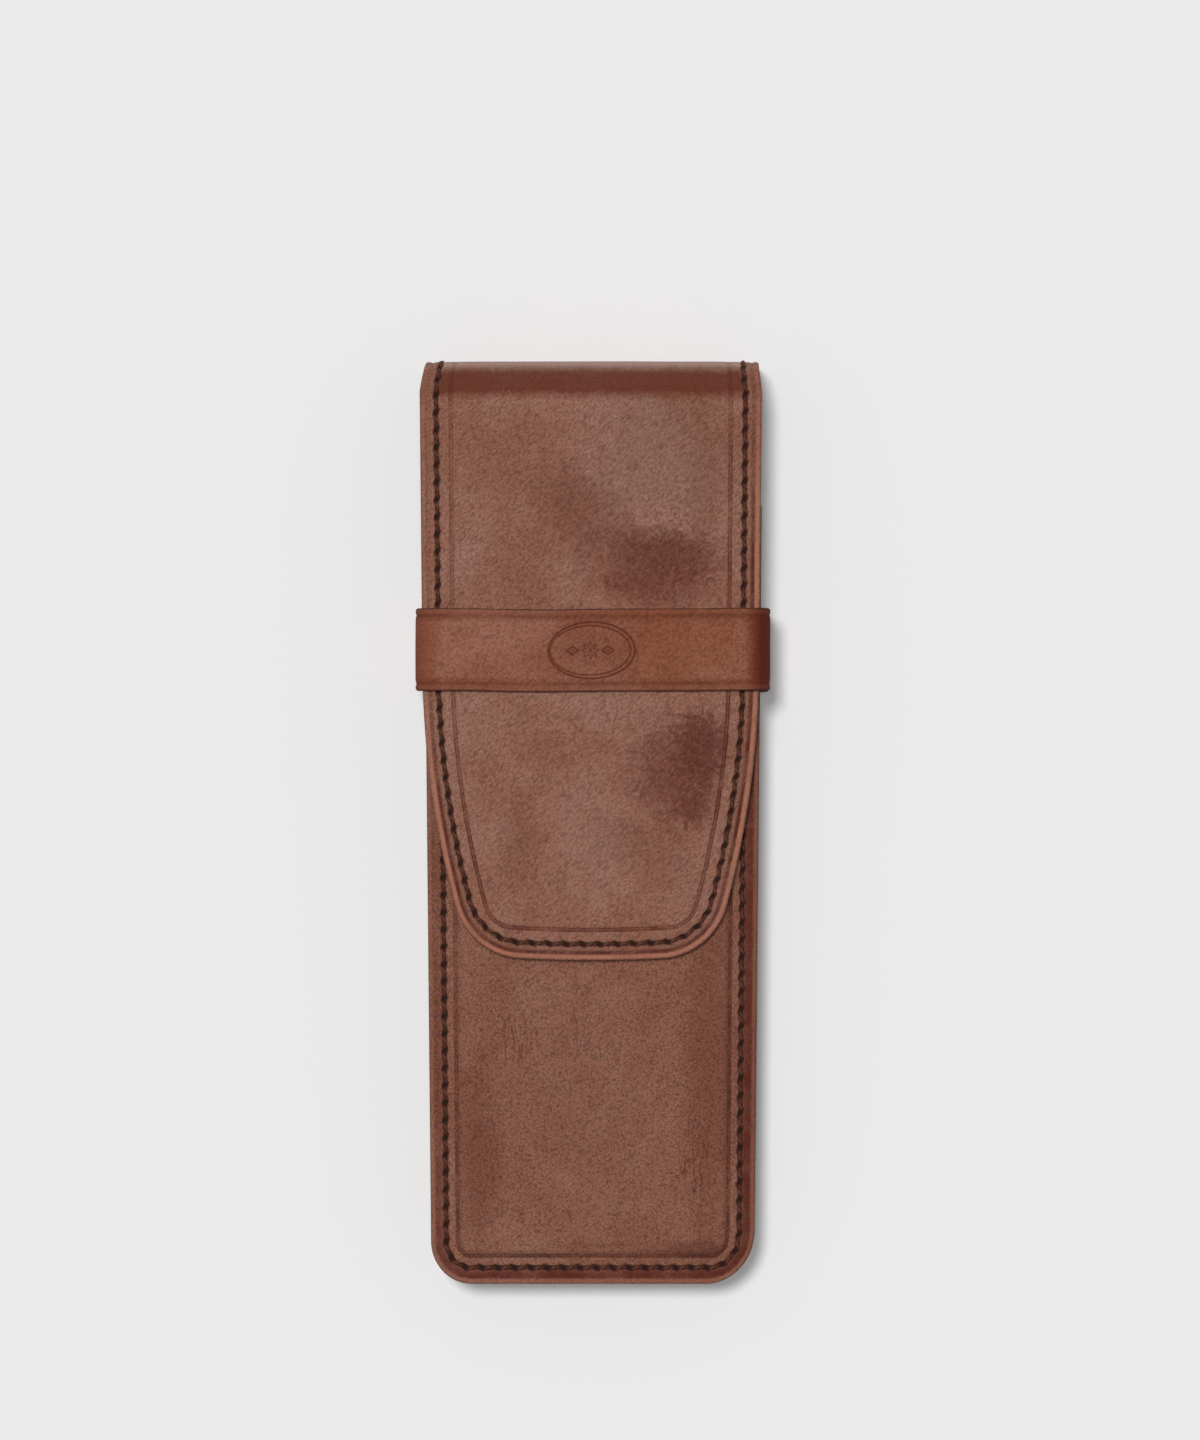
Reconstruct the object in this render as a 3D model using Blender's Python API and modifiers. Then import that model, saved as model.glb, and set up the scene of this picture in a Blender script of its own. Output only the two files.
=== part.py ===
"""Leather pen case for two pens, closed, lying on its back.

X runs across the case, Y towards the fold at its top, Z up from the table. Metres.
One long leather makes the back, the fold and the flap. It is laid out flat as a blank, gets its
beaded edge, stitch groove and raised centre there, and is then bent round the fold. It turns at
two bends, where it is divided, so that the fold and the flap can open.
"""
import math

import bmesh
import bpy
from mathutils import Vector

# Whole case
CASE_LENGTH = 0.1640
FOLD_WIDTH = 0.0605
BOTTOM_WIDTH = 0.0573
FOLD_WAIST = 0.0007
CORNER_RADIUS = 0.0075
PEN_ROOM = 0.0110

# Materials' thicknesses, and the gap between pieces that touch
LEATHER = 0.0013
LINING = 0.0005
STIFFENER = 0.0005
GUSSET_LEATHER = 0.0012
FIT_GAP = 0.0003

# Fold and flap
FOLD_RADIUS = 0.0057
FLAP_LENGTH = 0.1065
FLAP_STRAIGHT = 0.0550
FLAP_SIDE_RADIUS = 0.1620
FLAP_CORNER_RADIUS = 0.0129
FLAP_TIP_RADIUS = 0.2600

# Front and its mouth
MOUTH_DROP = 0.0260
SCOOP_WIDTH = 0.0340
SCOOP_DEPTH = 0.0050

# Edge relief, from the cut edge inwards
BEAD_WIDTH = 0.0012
BEAD_ROUND = 0.0003
GROOVE_WIDTH = 0.0002
GROOVE_DEPTH = 0.0003
SEAM_MARGIN = 0.0048
CREASE_SLOPE = 0.0006
CREASE_DEPTH = 0.0002

# Gusset
FLANGE_SETBACK = 0.0005
FLANGE_WIDTH = 0.0042
GUSSET_ROUND = 0.0004
GUSSET_DROP = 0.0015

# Keeper strap
KEEPER_WIDTH = 0.0146
KEEPER_DROP = 0.0442
KEEPER_LEATHER = 0.0013
KEEPER_BEND_RADIUS = 0.0030
KEEPER_FOOT_RADIUS = 0.0004
KEEPER_TAB = 0.0040
KEEPER_SKIVE = 0.0040
KEEPER_BEAD = 0.0009
KEEPER_GROOVE = 0.0002
KEEPER_GROOVE_DEPTH = 0.0003

# Pen divider
DIVIDER_LEATHER = 0.0012
DIVIDER_FLANGE = 0.0090
DIVIDER_SETBACK = 0.0040
DIVIDER_LOW_SETBACK = 0.0060
DIVIDER_CORNER = 0.0060

# How far blanks and cutters run past the place where they are cut
OVERRUN = 0.0200

BEND_STEPS = 6
CORNER_STEPS = 7
SIDE_STEPS = 8
TIP_STEPS = 6
SCOOP_STEPS = 12
QUARTER = math.pi / 2

# The centre of every panel stands out by the stiffener behind it
CROWN = STIFFENER + FIT_GAP
PANEL_STACK = CROWN + LEATHER + FIT_GAP + LINING

# Heights, from the table up
CAVITY_FLOOR = PANEL_STACK
CAVITY_CEILING = CAVITY_FLOOR + PEN_ROOM
FRONT_TOP = CAVITY_CEILING + PANEL_STACK
FLAP_TOP = FRONT_TOP + FIT_GAP + PANEL_STACK

# Places along the case
TOP_Y = CASE_LENGTH / 2
BOTTOM_Y = -TOP_Y
BEND_Y = TOP_Y - FOLD_RADIUS
BACK_RUN = BEND_Y - BOTTOM_Y
BEND_RUN = QUARTER * FOLD_RADIUS
RISE_RUN = FLAP_TOP - FOLD_RADIUS - FOLD_RADIUS
LOWER_BEND_MIDDLE = BACK_RUN + BEND_RUN / 2
UPPER_BEND_START = BACK_RUN + BEND_RUN + RISE_RUN
UPPER_BEND_MIDDLE = UPPER_BEND_START + BEND_RUN / 2
FLAP_START = UPPER_BEND_START + BEND_RUN
TIP_RUN = FLAP_START + FLAP_LENGTH - FOLD_RADIUS
MOUTH_RUN = CASE_LENGTH - MOUTH_DROP
HALF_WIDTH = FOLD_WIDTH / 2
CREASE_INSET = SEAM_MARGIN + CREASE_SLOPE
WEB_INSET = FLANGE_SETBACK + FLANGE_WIDTH

# A bend turns about a line just outside its leather, so that the opened leather keeps its length
BEND_AXIS_Y = BEND_Y + BEND_RUN / 2
LOWER_AXIS = Vector((0, BEND_AXIS_Y, FOLD_RADIUS - BEND_RUN / 2))
UPPER_AXIS = Vector((0, BEND_AXIS_Y, FLAP_TOP - FOLD_RADIUS + BEND_RUN / 2))


def clear_scene():
    for item in list(bpy.data.objects):
        bpy.data.objects.remove(item, do_unlink=True)


def new_collection(name):
    group = bpy.data.collections.new(name)
    bpy.context.scene.collection.children.link(group)
    return group


def new_material(name, colour, roughness):
    material = bpy.data.materials.new(name)
    material.use_nodes = True
    shader = material.node_tree.nodes["Principled BSDF"]
    shader.inputs["Base Color"].default_value = (*colour, 1)
    shader.inputs["Roughness"].default_value = roughness
    shader.inputs["Metallic"].default_value = 0
    return material


def new_empty(name, group, place, parent=None):
    empty = bpy.data.objects.new(name, None)
    group.objects.link(empty)
    empty.parent = parent
    empty.location = place - (parent.location if parent else Vector())
    return empty


def add_piece(name, bm, group, material, pivot=None, place=None):
    """Makes an object from a mesh in world places. A piece on a pivot is stored about its axis."""
    bmesh.ops.recalc_face_normals(bm, faces=bm.faces)
    if bm.calc_volume(signed=True) < 0:
        bmesh.ops.reverse_faces(bm, faces=bm.faces)
    if pivot:
        bmesh.ops.translate(bm, verts=bm.verts, vec=-place)
    mesh = bpy.data.meshes.new(name)
    bm.to_mesh(mesh)
    bm.free()
    mesh.shade_smooth()
    mesh.set_sharp_from_angle(angle=math.radians(35))
    mesh.materials.append(material)
    piece = bpy.data.objects.new(name, mesh)
    group.objects.link(piece)
    piece.parent = pivot
    return piece


def subtract(piece, cutter):
    cut = piece.modifiers.new("cut", "BOOLEAN")
    cut.operation = "DIFFERENCE"
    cut.solver = "EXACT"
    cut.object = cutter


def add_cutter(name, size, place, group):
    bpy.ops.mesh.primitive_cube_add(size=1, location=place)
    cutter = bpy.context.object
    cutter.name = name
    cutter.scale = size
    bpy.ops.object.transform_apply(location=False, rotation=False, scale=True)
    for owner in list(cutter.users_collection):
        owner.objects.unlink(cutter)
    group.objects.link(cutter)
    cutter.hide_render = True
    cutter.display_type = "WIRE"
    return cutter


# Outlines, in flat blanks: across the leather, then along it


def arc(centre, radius, start, end, steps):
    turns = [start + (end - start) * step / steps for step in range(steps + 1)]
    return [(centre[0] + radius * math.cos(t), centre[1] + radius * math.sin(t)) for t in turns]


def mirrored(right_side):
    return right_side + [(-across, along) for across, along in reversed(right_side)]


def foot_corner(half, low, radius):
    """Lower right corner, from the bottom edge to the side."""
    return arc((half - radius, low + radius), radius, -QUARTER, 0, CORNER_STEPS)


def panel_outline(low, high, inset=0):
    """A tapered panel's blank with two rounded corners at its foot."""
    half = HALF_WIDTH - inset
    return mirrored(foot_corner(half, low, CORNER_RADIUS - inset) + [(half, high)])


def strip_outline(half, low, high):
    return [(-half, low), (half, low), (half, high), (-half, high)]


def circle_meeting(first, first_radius, second, second_radius):
    """Where two circles meet, on the right side of the line between their centres."""
    gap = Vector(second) - Vector(first)
    reach = (gap.length_squared + first_radius**2 - second_radius**2) / (2 * gap.length)
    aside = math.sqrt(first_radius**2 - reach**2)
    ahead = gap.normalized()
    return Vector(first) + ahead * reach + Vector((-ahead.y, ahead.x)) * aside


def tongue_side(inset=0):
    """Right side of the flap, from its straight edge round the corner to the middle of its tip."""
    half, corner = HALF_WIDTH - inset, FLAP_CORNER_RADIUS - inset
    side_radius, tip_radius = FLAP_SIDE_RADIUS - inset, FLAP_TIP_RADIUS - inset
    side_start = FLAP_START + FLAP_STRAIGHT - FOLD_RADIUS
    side_centre = (half - side_radius, side_start)
    tip_centre = (0, TIP_RUN - inset - tip_radius)
    middle = circle_meeting(side_centre, side_radius - corner, tip_centre, tip_radius - corner)
    side_end = math.atan2(middle.y - side_centre[1], middle.x - side_centre[0])
    tip_start = math.atan2(middle.y - tip_centre[1], middle.x - tip_centre[0])
    side = arc(side_centre, side_radius, 0, side_end, SIDE_STEPS)
    turn = arc(middle, corner, side_end, tip_start, CORNER_STEPS)
    tip = arc(tip_centre, tip_radius, tip_start, QUARTER, TIP_STEPS)
    return side[:-1] + turn + tip[1:]


def flap_outline(low, inset=0):
    right = [(HALF_WIDTH - inset, low)] + tongue_side(inset)
    left = [(-across, along) for across, along in reversed(right[:-1])]
    return right + left


def front_outline(inset=0):
    """The front's blank, with a shallow dip in its top edge for the fingers."""
    half, top = HALF_WIDTH - inset, MOUTH_RUN - inset
    right = foot_corner(half, inset, CORNER_RADIUS - inset) + [(half, top)]
    scoop = []
    for step in range(SCOOP_STEPS + 1):
        share = step / SCOOP_STEPS
        dip = (1 - math.cos(2 * math.pi * share)) / 2
        scoop.append((SCOOP_WIDTH / 2 - SCOOP_WIDTH * share, top - SCOOP_DEPTH * dip))
    left = [(-across, along) for across, along in reversed(right)]
    return right + scoop + left


# Blanks: closed flat solids whose third size is the height towards the outside


def blank(outline, low, high, relief=(), recess=()):
    bm = bmesh.new()
    top = bm.faces.new([bm.verts.new((across, along, high)) for across, along in outline])
    grown = bmesh.ops.extrude_face_region(bm, geom=[top])["geom"]
    moved = [item for item in grown if isinstance(item, bmesh.types.BMVert)]
    base = next(item for item in grown if isinstance(item, bmesh.types.BMFace))
    bmesh.ops.translate(bm, verts=moved, vec=(0, 0, low - high))
    bmesh.ops.recalc_face_normals(bm, faces=bm.faces)
    for face, steps in ((top, relief), (base, recess)):
        for inward, rise in steps:
            bmesh.ops.inset_region(
                bm, faces=[face], thickness=inward, depth=rise, use_even_offset=True
            )
    return bm


def edge_relief(crown):
    """Rounded bead, narrow groove, flat for the stitches, crease, raised centre."""
    flat = SEAM_MARGIN - BEAD_WIDTH - GROOVE_WIDTH - GROOVE_WIDTH - CREASE_SLOPE
    return (
        (BEAD_ROUND, BEAD_ROUND),
        (BEAD_WIDTH - BEAD_ROUND, 0),
        (GROOVE_WIDTH, -GROOVE_DEPTH),
        (GROOVE_WIDTH, GROOVE_DEPTH),
        (flat, 0),
        (CREASE_SLOPE, -CREASE_DEPTH),
        (CREASE_SLOPE, crown + CREASE_DEPTH),
    )


def recess_relief():
    return ((CREASE_INSET, 0), (CREASE_SLOPE, -CROWN))


def slice_at(bm, along, keep=None):
    """Cuts a blank across at one place. keep is the side that stays, or None for both."""
    parts = list(bm.verts) + list(bm.edges) + list(bm.faces)
    done = bmesh.ops.bisect_plane(
        bm,
        geom=parts,
        plane_co=(0, along, 0),
        plane_no=(0, 1, 0),
        clear_outer=keep == "low",
        clear_inner=keep == "high",
    )
    if keep:
        edges = [item for item in done["geom_cut"] if isinstance(item, bmesh.types.BMEdge)]
        bmesh.ops.contextual_create(bm, geom=edges)


def slice_bend(bm, start, run=BEND_RUN, steps=BEND_STEPS):
    for step in range(steps + 1):
        slice_at(bm, start + run * step / steps)


# Paths that a blank is bent along


def walk(path, distance):
    """A place on a path of straight runs and arcs, and the direction of its outer side there."""
    place, angle = Vector(path["start"]), path["heading"]
    left = distance
    for number, (length, turn) in enumerate(path["runs"]):
        last = number == len(path["runs"]) - 1
        step = left if last else min(left, length)
        ahead = Vector((math.cos(angle), math.sin(angle)))
        outside = Vector((-ahead.y, ahead.x)) * path["side"]
        if turn:
            radius = length / abs(turn)
            centre = place - outside * radius
            angle += turn * step / length
            ahead = Vector((math.cos(angle), math.sin(angle)))
            outside = Vector((-ahead.y, ahead.x)) * path["side"]
            place = centre + outside * radius
        else:
            place = place + ahead * step
        left -= step
        if left <= 0:
            break
    return place, outside


WRAP_PATH = {
    "start": (BOTTOM_Y, 0),
    "heading": 0,
    "side": -1,
    "runs": (
        (BACK_RUN, 0),
        (BEND_RUN, QUARTER),
        (RISE_RUN, 0),
        (BEND_RUN, QUARTER),
        (FLAP_LENGTH, 0),
    ),
}


def width_share(y):
    """The case narrows evenly from the fold to its foot."""
    return 1 + (BOTTOM_WIDTH / FOLD_WIDTH - 1) * (TOP_Y - y) / CASE_LENGTH


def half_width_at(y):
    return HALF_WIDTH * width_share(y)


def wrap_place(across, along, out):
    """The long leather and its lining: back, round the fold, and down the front."""
    place, outside = walk(WRAP_PATH, along)
    y, z = place + outside * out
    waist = 1 - FOLD_WAIST / HALF_WIDTH * max(outside.x, 0)
    return across * width_share(min(y, TOP_Y)) * waist, y, z


def front_place(across, along, out):
    y = BOTTOM_Y + along
    return across * width_share(y), y, FRONT_TOP + out


def bend(bm, place):
    for vert in bm.verts:
        vert.co = place(*vert.co)
    return bm


def wrap_piece(outline, low, high, cuts, relief=(), recess=()):
    """A stretch of the long leather or its lining. cuts are its ends at the bends."""
    bm = blank(outline, low, high, relief, recess)
    for along, keep in cuts:
        slice_at(bm, along, keep)
    slice_bend(bm, BACK_RUN)
    slice_bend(bm, UPPER_BEND_START)
    return bend(bm, wrap_place)


LOWER_CUTS = (LOWER_BEND_MIDDLE - FIT_GAP / 2, LOWER_BEND_MIDDLE + FIT_GAP / 2)
UPPER_CUTS = (UPPER_BEND_MIDDLE - FIT_GAP / 2, UPPER_BEND_MIDDLE + FIT_GAP / 2)
PANEL_HEIGHTS = (-CROWN - LEATHER, -CROWN - BEAD_ROUND)
LINING_HEIGHTS = (-PANEL_STACK, LINING - PANEL_STACK)
STIFFENER_HEIGHTS = (-CROWN - LEATHER, STIFFENER - CROWN - LEATHER)


def make_back(group, cutters, leather, lining, board):
    beyond = LOWER_BEND_MIDDLE + OVERRUN
    full = panel_outline(0, beyond)
    end = ((LOWER_CUTS[0], "low"),)
    bm = wrap_piece(full, *PANEL_HEIGHTS, end, edge_relief(CROWN), recess_relief())
    add_piece("back_panel", bm, group, leather)

    inset = CREASE_INSET + CREASE_SLOPE + FIT_GAP
    bm = wrap_piece(panel_outline(inset, BACK_RUN, inset), *STIFFENER_HEIGHTS, ())
    add_piece("back_stiffener", bm, group, board)

    bm = wrap_piece(panel_outline(FIT_GAP, beyond, FIT_GAP), *LINING_HEIGHTS, end)
    piece = add_piece("back_lining", bm, group, lining)
    cut_tab_notches(piece, cutters)


def cut_tab_notches(piece, cutters):
    """The strap's skived ends lie in notches of the back lining."""
    keeper_top = TOP_Y - KEEPER_DROP
    inner = keeper_inner_half() - KEEPER_FOOT_RADIUS - KEEPER_TAB - FIT_GAP
    size = (OVERRUN, KEEPER_WIDTH + FIT_GAP + FIT_GAP, OVERRUN)
    for name, side in (("left_tab_cutter", -1), ("right_tab_cutter", 1)):
        place = (side * (inner + OVERRUN / 2), keeper_top - KEEPER_WIDTH / 2, 0)
        subtract(piece, add_cutter(name, size, place, cutters))


def make_fold(group, pivot, leather, lining):
    cuts = ((LOWER_CUTS[1], "high"), (UPPER_CUTS[0], "low"))
    full = strip_outline(HALF_WIDTH, BACK_RUN - OVERRUN, FLAP_START + OVERRUN)
    bm = wrap_piece(full, *PANEL_HEIGHTS, cuts, edge_relief(CROWN), recess_relief())
    add_piece("fold_panel", bm, group, leather, pivot, LOWER_AXIS)

    full = strip_outline(HALF_WIDTH - FIT_GAP, BACK_RUN - OVERRUN, FLAP_START + OVERRUN)
    bm = wrap_piece(full, *LINING_HEIGHTS, cuts)
    add_piece("fold_lining", bm, group, lining, pivot, LOWER_AXIS)


def make_flap(group, pivot, leather, lining, board):
    low = UPPER_BEND_START - OVERRUN
    end = ((UPPER_CUTS[1], "high"),)
    bm = wrap_piece(flap_outline(low), *PANEL_HEIGHTS, end, edge_relief(CROWN), recess_relief())
    add_piece("flap_panel", bm, group, leather, pivot, UPPER_AXIS)

    inset = CREASE_INSET + CREASE_SLOPE + FIT_GAP
    bm = wrap_piece(flap_outline(FLAP_START, inset), *STIFFENER_HEIGHTS, ())
    add_piece("flap_stiffener", bm, group, board, pivot, UPPER_AXIS)

    bm = wrap_piece(flap_outline(low, FIT_GAP), *LINING_HEIGHTS, end)
    add_piece("flap_lining", bm, group, lining, pivot, UPPER_AXIS)


def make_front(group, leather, lining, board):
    bm = blank(front_outline(), *PANEL_HEIGHTS, edge_relief(CROWN), recess_relief())
    add_piece("front_panel", bend(bm, front_place), group, leather)

    inset = CREASE_INSET + CREASE_SLOPE + FIT_GAP
    bm = blank(front_outline(inset), *STIFFENER_HEIGHTS)
    add_piece("front_stiffener", bend(bm, front_place), group, board)

    bm = blank(front_outline(FIT_GAP), *LINING_HEIGHTS)
    add_piece("front_lining", bend(bm, front_place), group, lining)


def gusset_line(bm, inset, height):
    """One line of the gusset: down one side, round the foot and up the other side."""
    right = foot_corner(HALF_WIDTH - inset, inset, CORNER_RADIUS - inset)
    right.append((HALF_WIDTH - inset, MOUTH_RUN - GUSSET_DROP))
    line = [(-across, along) for across, along in reversed(right)] + right
    verts = []
    for across, along in line:
        y = BOTTOM_Y + along
        verts.append(bm.verts.new((across * width_share(y), y, height)))
    return [bm.edges.new(pair) for pair in zip(verts, verts[1:])]


def make_gusset(group, leather):
    """A channel: flanges turned outwards to the seams, and a web between them."""
    low = CAVITY_FLOOR + FIT_GAP + GUSSET_LEATHER / 2
    high = CAVITY_CEILING - FIT_GAP - GUSSET_LEATHER / 2
    bm = bmesh.new()
    places = ((FLANGE_SETBACK, low), (WEB_INSET, low), (WEB_INSET, high), (FLANGE_SETBACK, high))
    lines = [gusset_line(bm, inset, height) for inset, height in places]
    for first, second in zip(lines, lines[1:]):
        bmesh.ops.bridge_loops(bm, edges=first + second)
    piece = add_piece("gusset", bm, group, leather)
    thick = piece.modifiers.new("leather", "SOLIDIFY")
    thick.thickness = GUSSET_LEATHER
    thick.offset = 0
    thick.use_even_offset = True
    rounded = piece.modifiers.new("soft edges", "BEVEL")
    rounded.width = GUSSET_ROUND
    rounded.segments = 2
    rounded.limit_method = "ANGLE"
    rounded.angle_limit = math.radians(40)


def keeper_inner_half():
    return half_width_at(TOP_Y - KEEPER_DROP) + FIT_GAP


def keeper_path():
    """Inner side of the strap, from its left end under the case, over it, to its right end."""
    bend_radius = KEEPER_BEND_RADIUS - KEEPER_LEATHER
    half = keeper_inner_half()
    foot_run = QUARTER * KEEPER_FOOT_RADIUS
    bend_run = QUARTER * bend_radius
    rise = FLAP_TOP + FIT_GAP - bend_radius - CAVITY_FLOOR - KEEPER_FOOT_RADIUS
    half_path = ((KEEPER_TAB, 0), (foot_run, -QUARTER), (rise, 0), (bend_run, -QUARTER))
    across = half - bend_radius
    return {
        "start": (KEEPER_FOOT_RADIUS + KEEPER_TAB - half, CAVITY_FLOOR),
        "heading": math.pi,
        "side": 1,
        "runs": (*half_path, (across + across, 0), *reversed(half_path)),
    }


def make_keeper(group, leather):
    path = keeper_path()
    total = sum(length for length, turn in path["runs"])
    middle = TOP_Y - KEEPER_DROP - KEEPER_WIDTH / 2
    relief = (
        (BEAD_ROUND, BEAD_ROUND),
        (KEEPER_BEAD - BEAD_ROUND, 0),
        (KEEPER_GROOVE, -KEEPER_GROOVE_DEPTH),
        (KEEPER_GROOVE, KEEPER_GROOVE_DEPTH),
    )
    outline = strip_outline(KEEPER_WIDTH / 2, -OVERRUN, total + OVERRUN)
    bm = blank(outline, 0, KEEPER_LEATHER - BEAD_ROUND, relief)
    slice_at(bm, 0, "high")
    slice_at(bm, total, "low")
    start = 0
    for length, turn in path["runs"]:
        slice_bend(bm, start, length, BEND_STEPS if turn else 1)
        start += length
    skive_end = KEEPER_TAB + QUARTER * KEEPER_FOOT_RADIUS + KEEPER_SKIVE
    slice_at(bm, skive_end)
    slice_at(bm, total - skive_end)

    def place(across, along, out):
        """The ends are pared down to the lining's thickness, where the seam takes them in."""
        from_end = min(along, total - along)
        share = min(max((from_end - KEEPER_TAB) / (skive_end - KEEPER_TAB), 0), 1)
        pared = LINING / KEEPER_LEATHER
        spot, outside = walk(path, along)
        x, z = spot + outside * out * (pared + (1 - pared) * share)
        return x, middle + across, z

    add_piece("keeper_strap", bend(bm, place), group, leather)


def is_crosswise(edge):
    return edge.verts[0].co.y == edge.verts[1].co.y


def make_divider(group, leather):
    """An upright wall between the pens, with a foot glued to the back lining."""
    low = CAVITY_FLOOR + FIT_GAP
    high = CAVITY_CEILING - FIT_GAP
    half = DIVIDER_LEATHER / 2
    start = BOTTOM_Y + WEB_INSET + GUSSET_LEATHER + DIVIDER_LOW_SETBACK
    end = TOP_Y - MOUTH_DROP - SCOOP_DEPTH - DIVIDER_SETBACK
    outline = (
        (-half, low),
        (DIVIDER_FLANGE - half, low),
        (DIVIDER_FLANGE - half, low + DIVIDER_LEATHER),
        (half, low + DIVIDER_LEATHER),
        (half, high),
        (-half, high),
    )
    bm = bmesh.new()
    face = bm.faces.new([bm.verts.new((x, start, z)) for x, z in outline])
    grown = bmesh.ops.extrude_face_region(bm, geom=[face])["geom"]
    moved = [item for item in grown if isinstance(item, bmesh.types.BMVert)]
    bmesh.ops.translate(bm, verts=moved, vec=(0, end - start, 0))
    top_verts = {vert for vert in bm.verts if vert.co.z > high - half}
    ends = [edge for edge in bm.edges if set(edge.verts) <= top_verts and is_crosswise(edge)]
    bmesh.ops.bevel(
        bm, geom=ends, offset=DIVIDER_CORNER, segments=CORNER_STEPS, profile=0.5, affect="EDGES"
    )
    add_piece("pen_divider", bm, group, leather)


def build():
    clear_scene()
    case = new_collection("pen_case")
    cutters = new_collection("pen_case_cutters")
    leather = new_material("brown_leather", (0.22, 0.085, 0.055), 0.5)
    strap = new_material("strap_leather", (0.25, 0.09, 0.05), 0.5)
    lining = new_material("lining_leather", (0.16, 0.07, 0.045), 0.75)
    side = new_material("gusset_leather", (0.15, 0.055, 0.035), 0.6)
    board = new_material("stiffener_board", (0.38, 0.31, 0.22), 0.9)

    fold_axis = new_empty("fold_axis", case, LOWER_AXIS)
    flap_axis = new_empty("flap_axis", case, UPPER_AXIS, fold_axis)

    make_back(case, cutters, leather, lining, board)
    make_front(case, leather, lining, board)
    make_gusset(case, side)
    make_divider(case, lining)
    make_keeper(case, strap)
    make_fold(case, fold_axis, leather, lining)
    make_flap(case, flap_axis, leather, lining, board)


build()
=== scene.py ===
import bpy
import math
import numpy as np
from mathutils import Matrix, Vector


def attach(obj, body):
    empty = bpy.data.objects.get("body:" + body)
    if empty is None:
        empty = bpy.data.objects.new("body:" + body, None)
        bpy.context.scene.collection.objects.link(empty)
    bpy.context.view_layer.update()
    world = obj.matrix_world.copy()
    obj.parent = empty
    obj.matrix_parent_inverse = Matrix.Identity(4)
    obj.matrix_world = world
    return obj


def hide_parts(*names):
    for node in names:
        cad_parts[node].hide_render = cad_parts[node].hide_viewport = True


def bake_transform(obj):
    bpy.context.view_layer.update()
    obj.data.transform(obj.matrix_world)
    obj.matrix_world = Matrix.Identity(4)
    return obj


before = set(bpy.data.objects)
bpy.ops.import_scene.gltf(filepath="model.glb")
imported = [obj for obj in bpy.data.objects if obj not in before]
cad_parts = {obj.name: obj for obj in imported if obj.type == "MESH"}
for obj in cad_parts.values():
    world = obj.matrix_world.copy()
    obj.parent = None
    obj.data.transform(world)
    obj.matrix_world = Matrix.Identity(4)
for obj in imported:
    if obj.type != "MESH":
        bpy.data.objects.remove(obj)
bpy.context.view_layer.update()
print("case frame loaded:", sorted(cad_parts))

toMetres = 0.001  # every length below is in millimetres until its mesh is made
perMetre = 1000

# The case as the CAD lays it out. The long leather of the back, fold and flap is laid out flat:
# across it, along it from the foot of the back, and out of its face.
caseShape = {
    "length": 164.0,
    "foldWidth": 60.5,
    "footWidth": 57.3,
    "foldWaist": 0.7,
    "cornerRadius": 7.5,
    "foldRadius": 5.7,
    "foldTightness": 0.75,  # how much of the relief the fold pulls flat
    "reliefLevel": 0.28,  # how deep the edge of the raised middle lies
    "reliefReach": 0.6,
    "cavityFloor": 2.9,
    "cavityCeiling": 13.9,
    "frontTop": 16.8,
    "flapTop": 20.0,
    "mouthDrop": 26.0,
    "scoopWidth": 34.0,
    "scoopDepth": 5.0,
    "cornerPull": 1.35,  # the right corner of the foot is rounder than the left one
    "pullFrom": (8.0, -73.0),
    "pullOver": (14.0, 9.0),
    "flapSpread": 0.12,
    "flapShift": -0.36,
    "meshStep": 0.5,  # how far apart the mesh's points are
    "cornerCount": 26,  # and how many are in a corner of the foot
}
foldRadius = caseShape["foldRadius"]
topY = caseShape["length"] / 2
bendY = topY - foldRadius
backRun = bendY + topY
bendRun = math.pi / 2 * foldRadius
riseRun = caseShape["flapTop"] - 2 * foldRadius
flapStart = backRun + 2 * bendRun + riseRun
cutRun = backRun + bendRun + riseRun / 2  # halfway up the fold, where back and flap leather meet
mouthRun = caseShape["length"] - caseShape["mouthDrop"]
halfWidth = caseShape["foldWidth"] / 2


# Places


def widthShare(y):
    narrowing = 1 - caseShape["footWidth"] / caseShape["foldWidth"]
    return 1 - narrowing * (topY - y) / caseShape["length"]


def pulled(x, y):
    fromX, fromY = caseShape["pullFrom"]
    overX, overY = caseShape["pullOver"]
    share = np.clip((fromY - y) / overY, 0, 1) * np.clip((x - fromX) / overX, 0, 1)
    return x - caseShape["cornerPull"] * share


def levelPlace(across, along, height):
    y = along - topY
    return np.stack([pulled(across * widthShare(y), y), y, height + 0 * y], axis=-1)


def frontPlace(across, along, out):
    return levelPlace(across, along, caseShape["frontTop"] + out)


def wrapPlace(across, along, out):
    # up the back, round the fold and down the front
    lowTurn = np.clip((along - backRun) / bendRun, 0, 1) * math.pi / 2
    highTurn = np.clip((along - backRun - bendRun - riseRun) / bendRun, 0, 1) * math.pi / 2
    turn = lowTurn + highTurn
    y = np.minimum(along, backRun) - topY + foldRadius * np.sin(lowTurn)
    y = y - foldRadius * (1 - np.cos(highTurn)) - np.maximum(along - flapStart, 0)
    z = foldRadius * (1 - np.cos(lowTurn)) + np.clip(along - backRun - bendRun, 0, riseRun)
    z = z + foldRadius * np.sin(highTurn)
    relief = out + caseShape["reliefLevel"]
    raised = relief * np.exp(-((relief / caseShape["reliefReach"]) ** 2))
    out = out - caseShape["foldTightness"] * np.sin(turn) * raised
    y = y + np.sin(turn) * out
    z = z - np.cos(turn) * out
    waist = 1 - caseShape["foldWaist"] / halfWidth * np.sin(turn)
    x = across * widthShare(np.minimum(y, topY)) * waist
    return np.stack([pulled(x, y), y, z], axis=-1)


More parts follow.
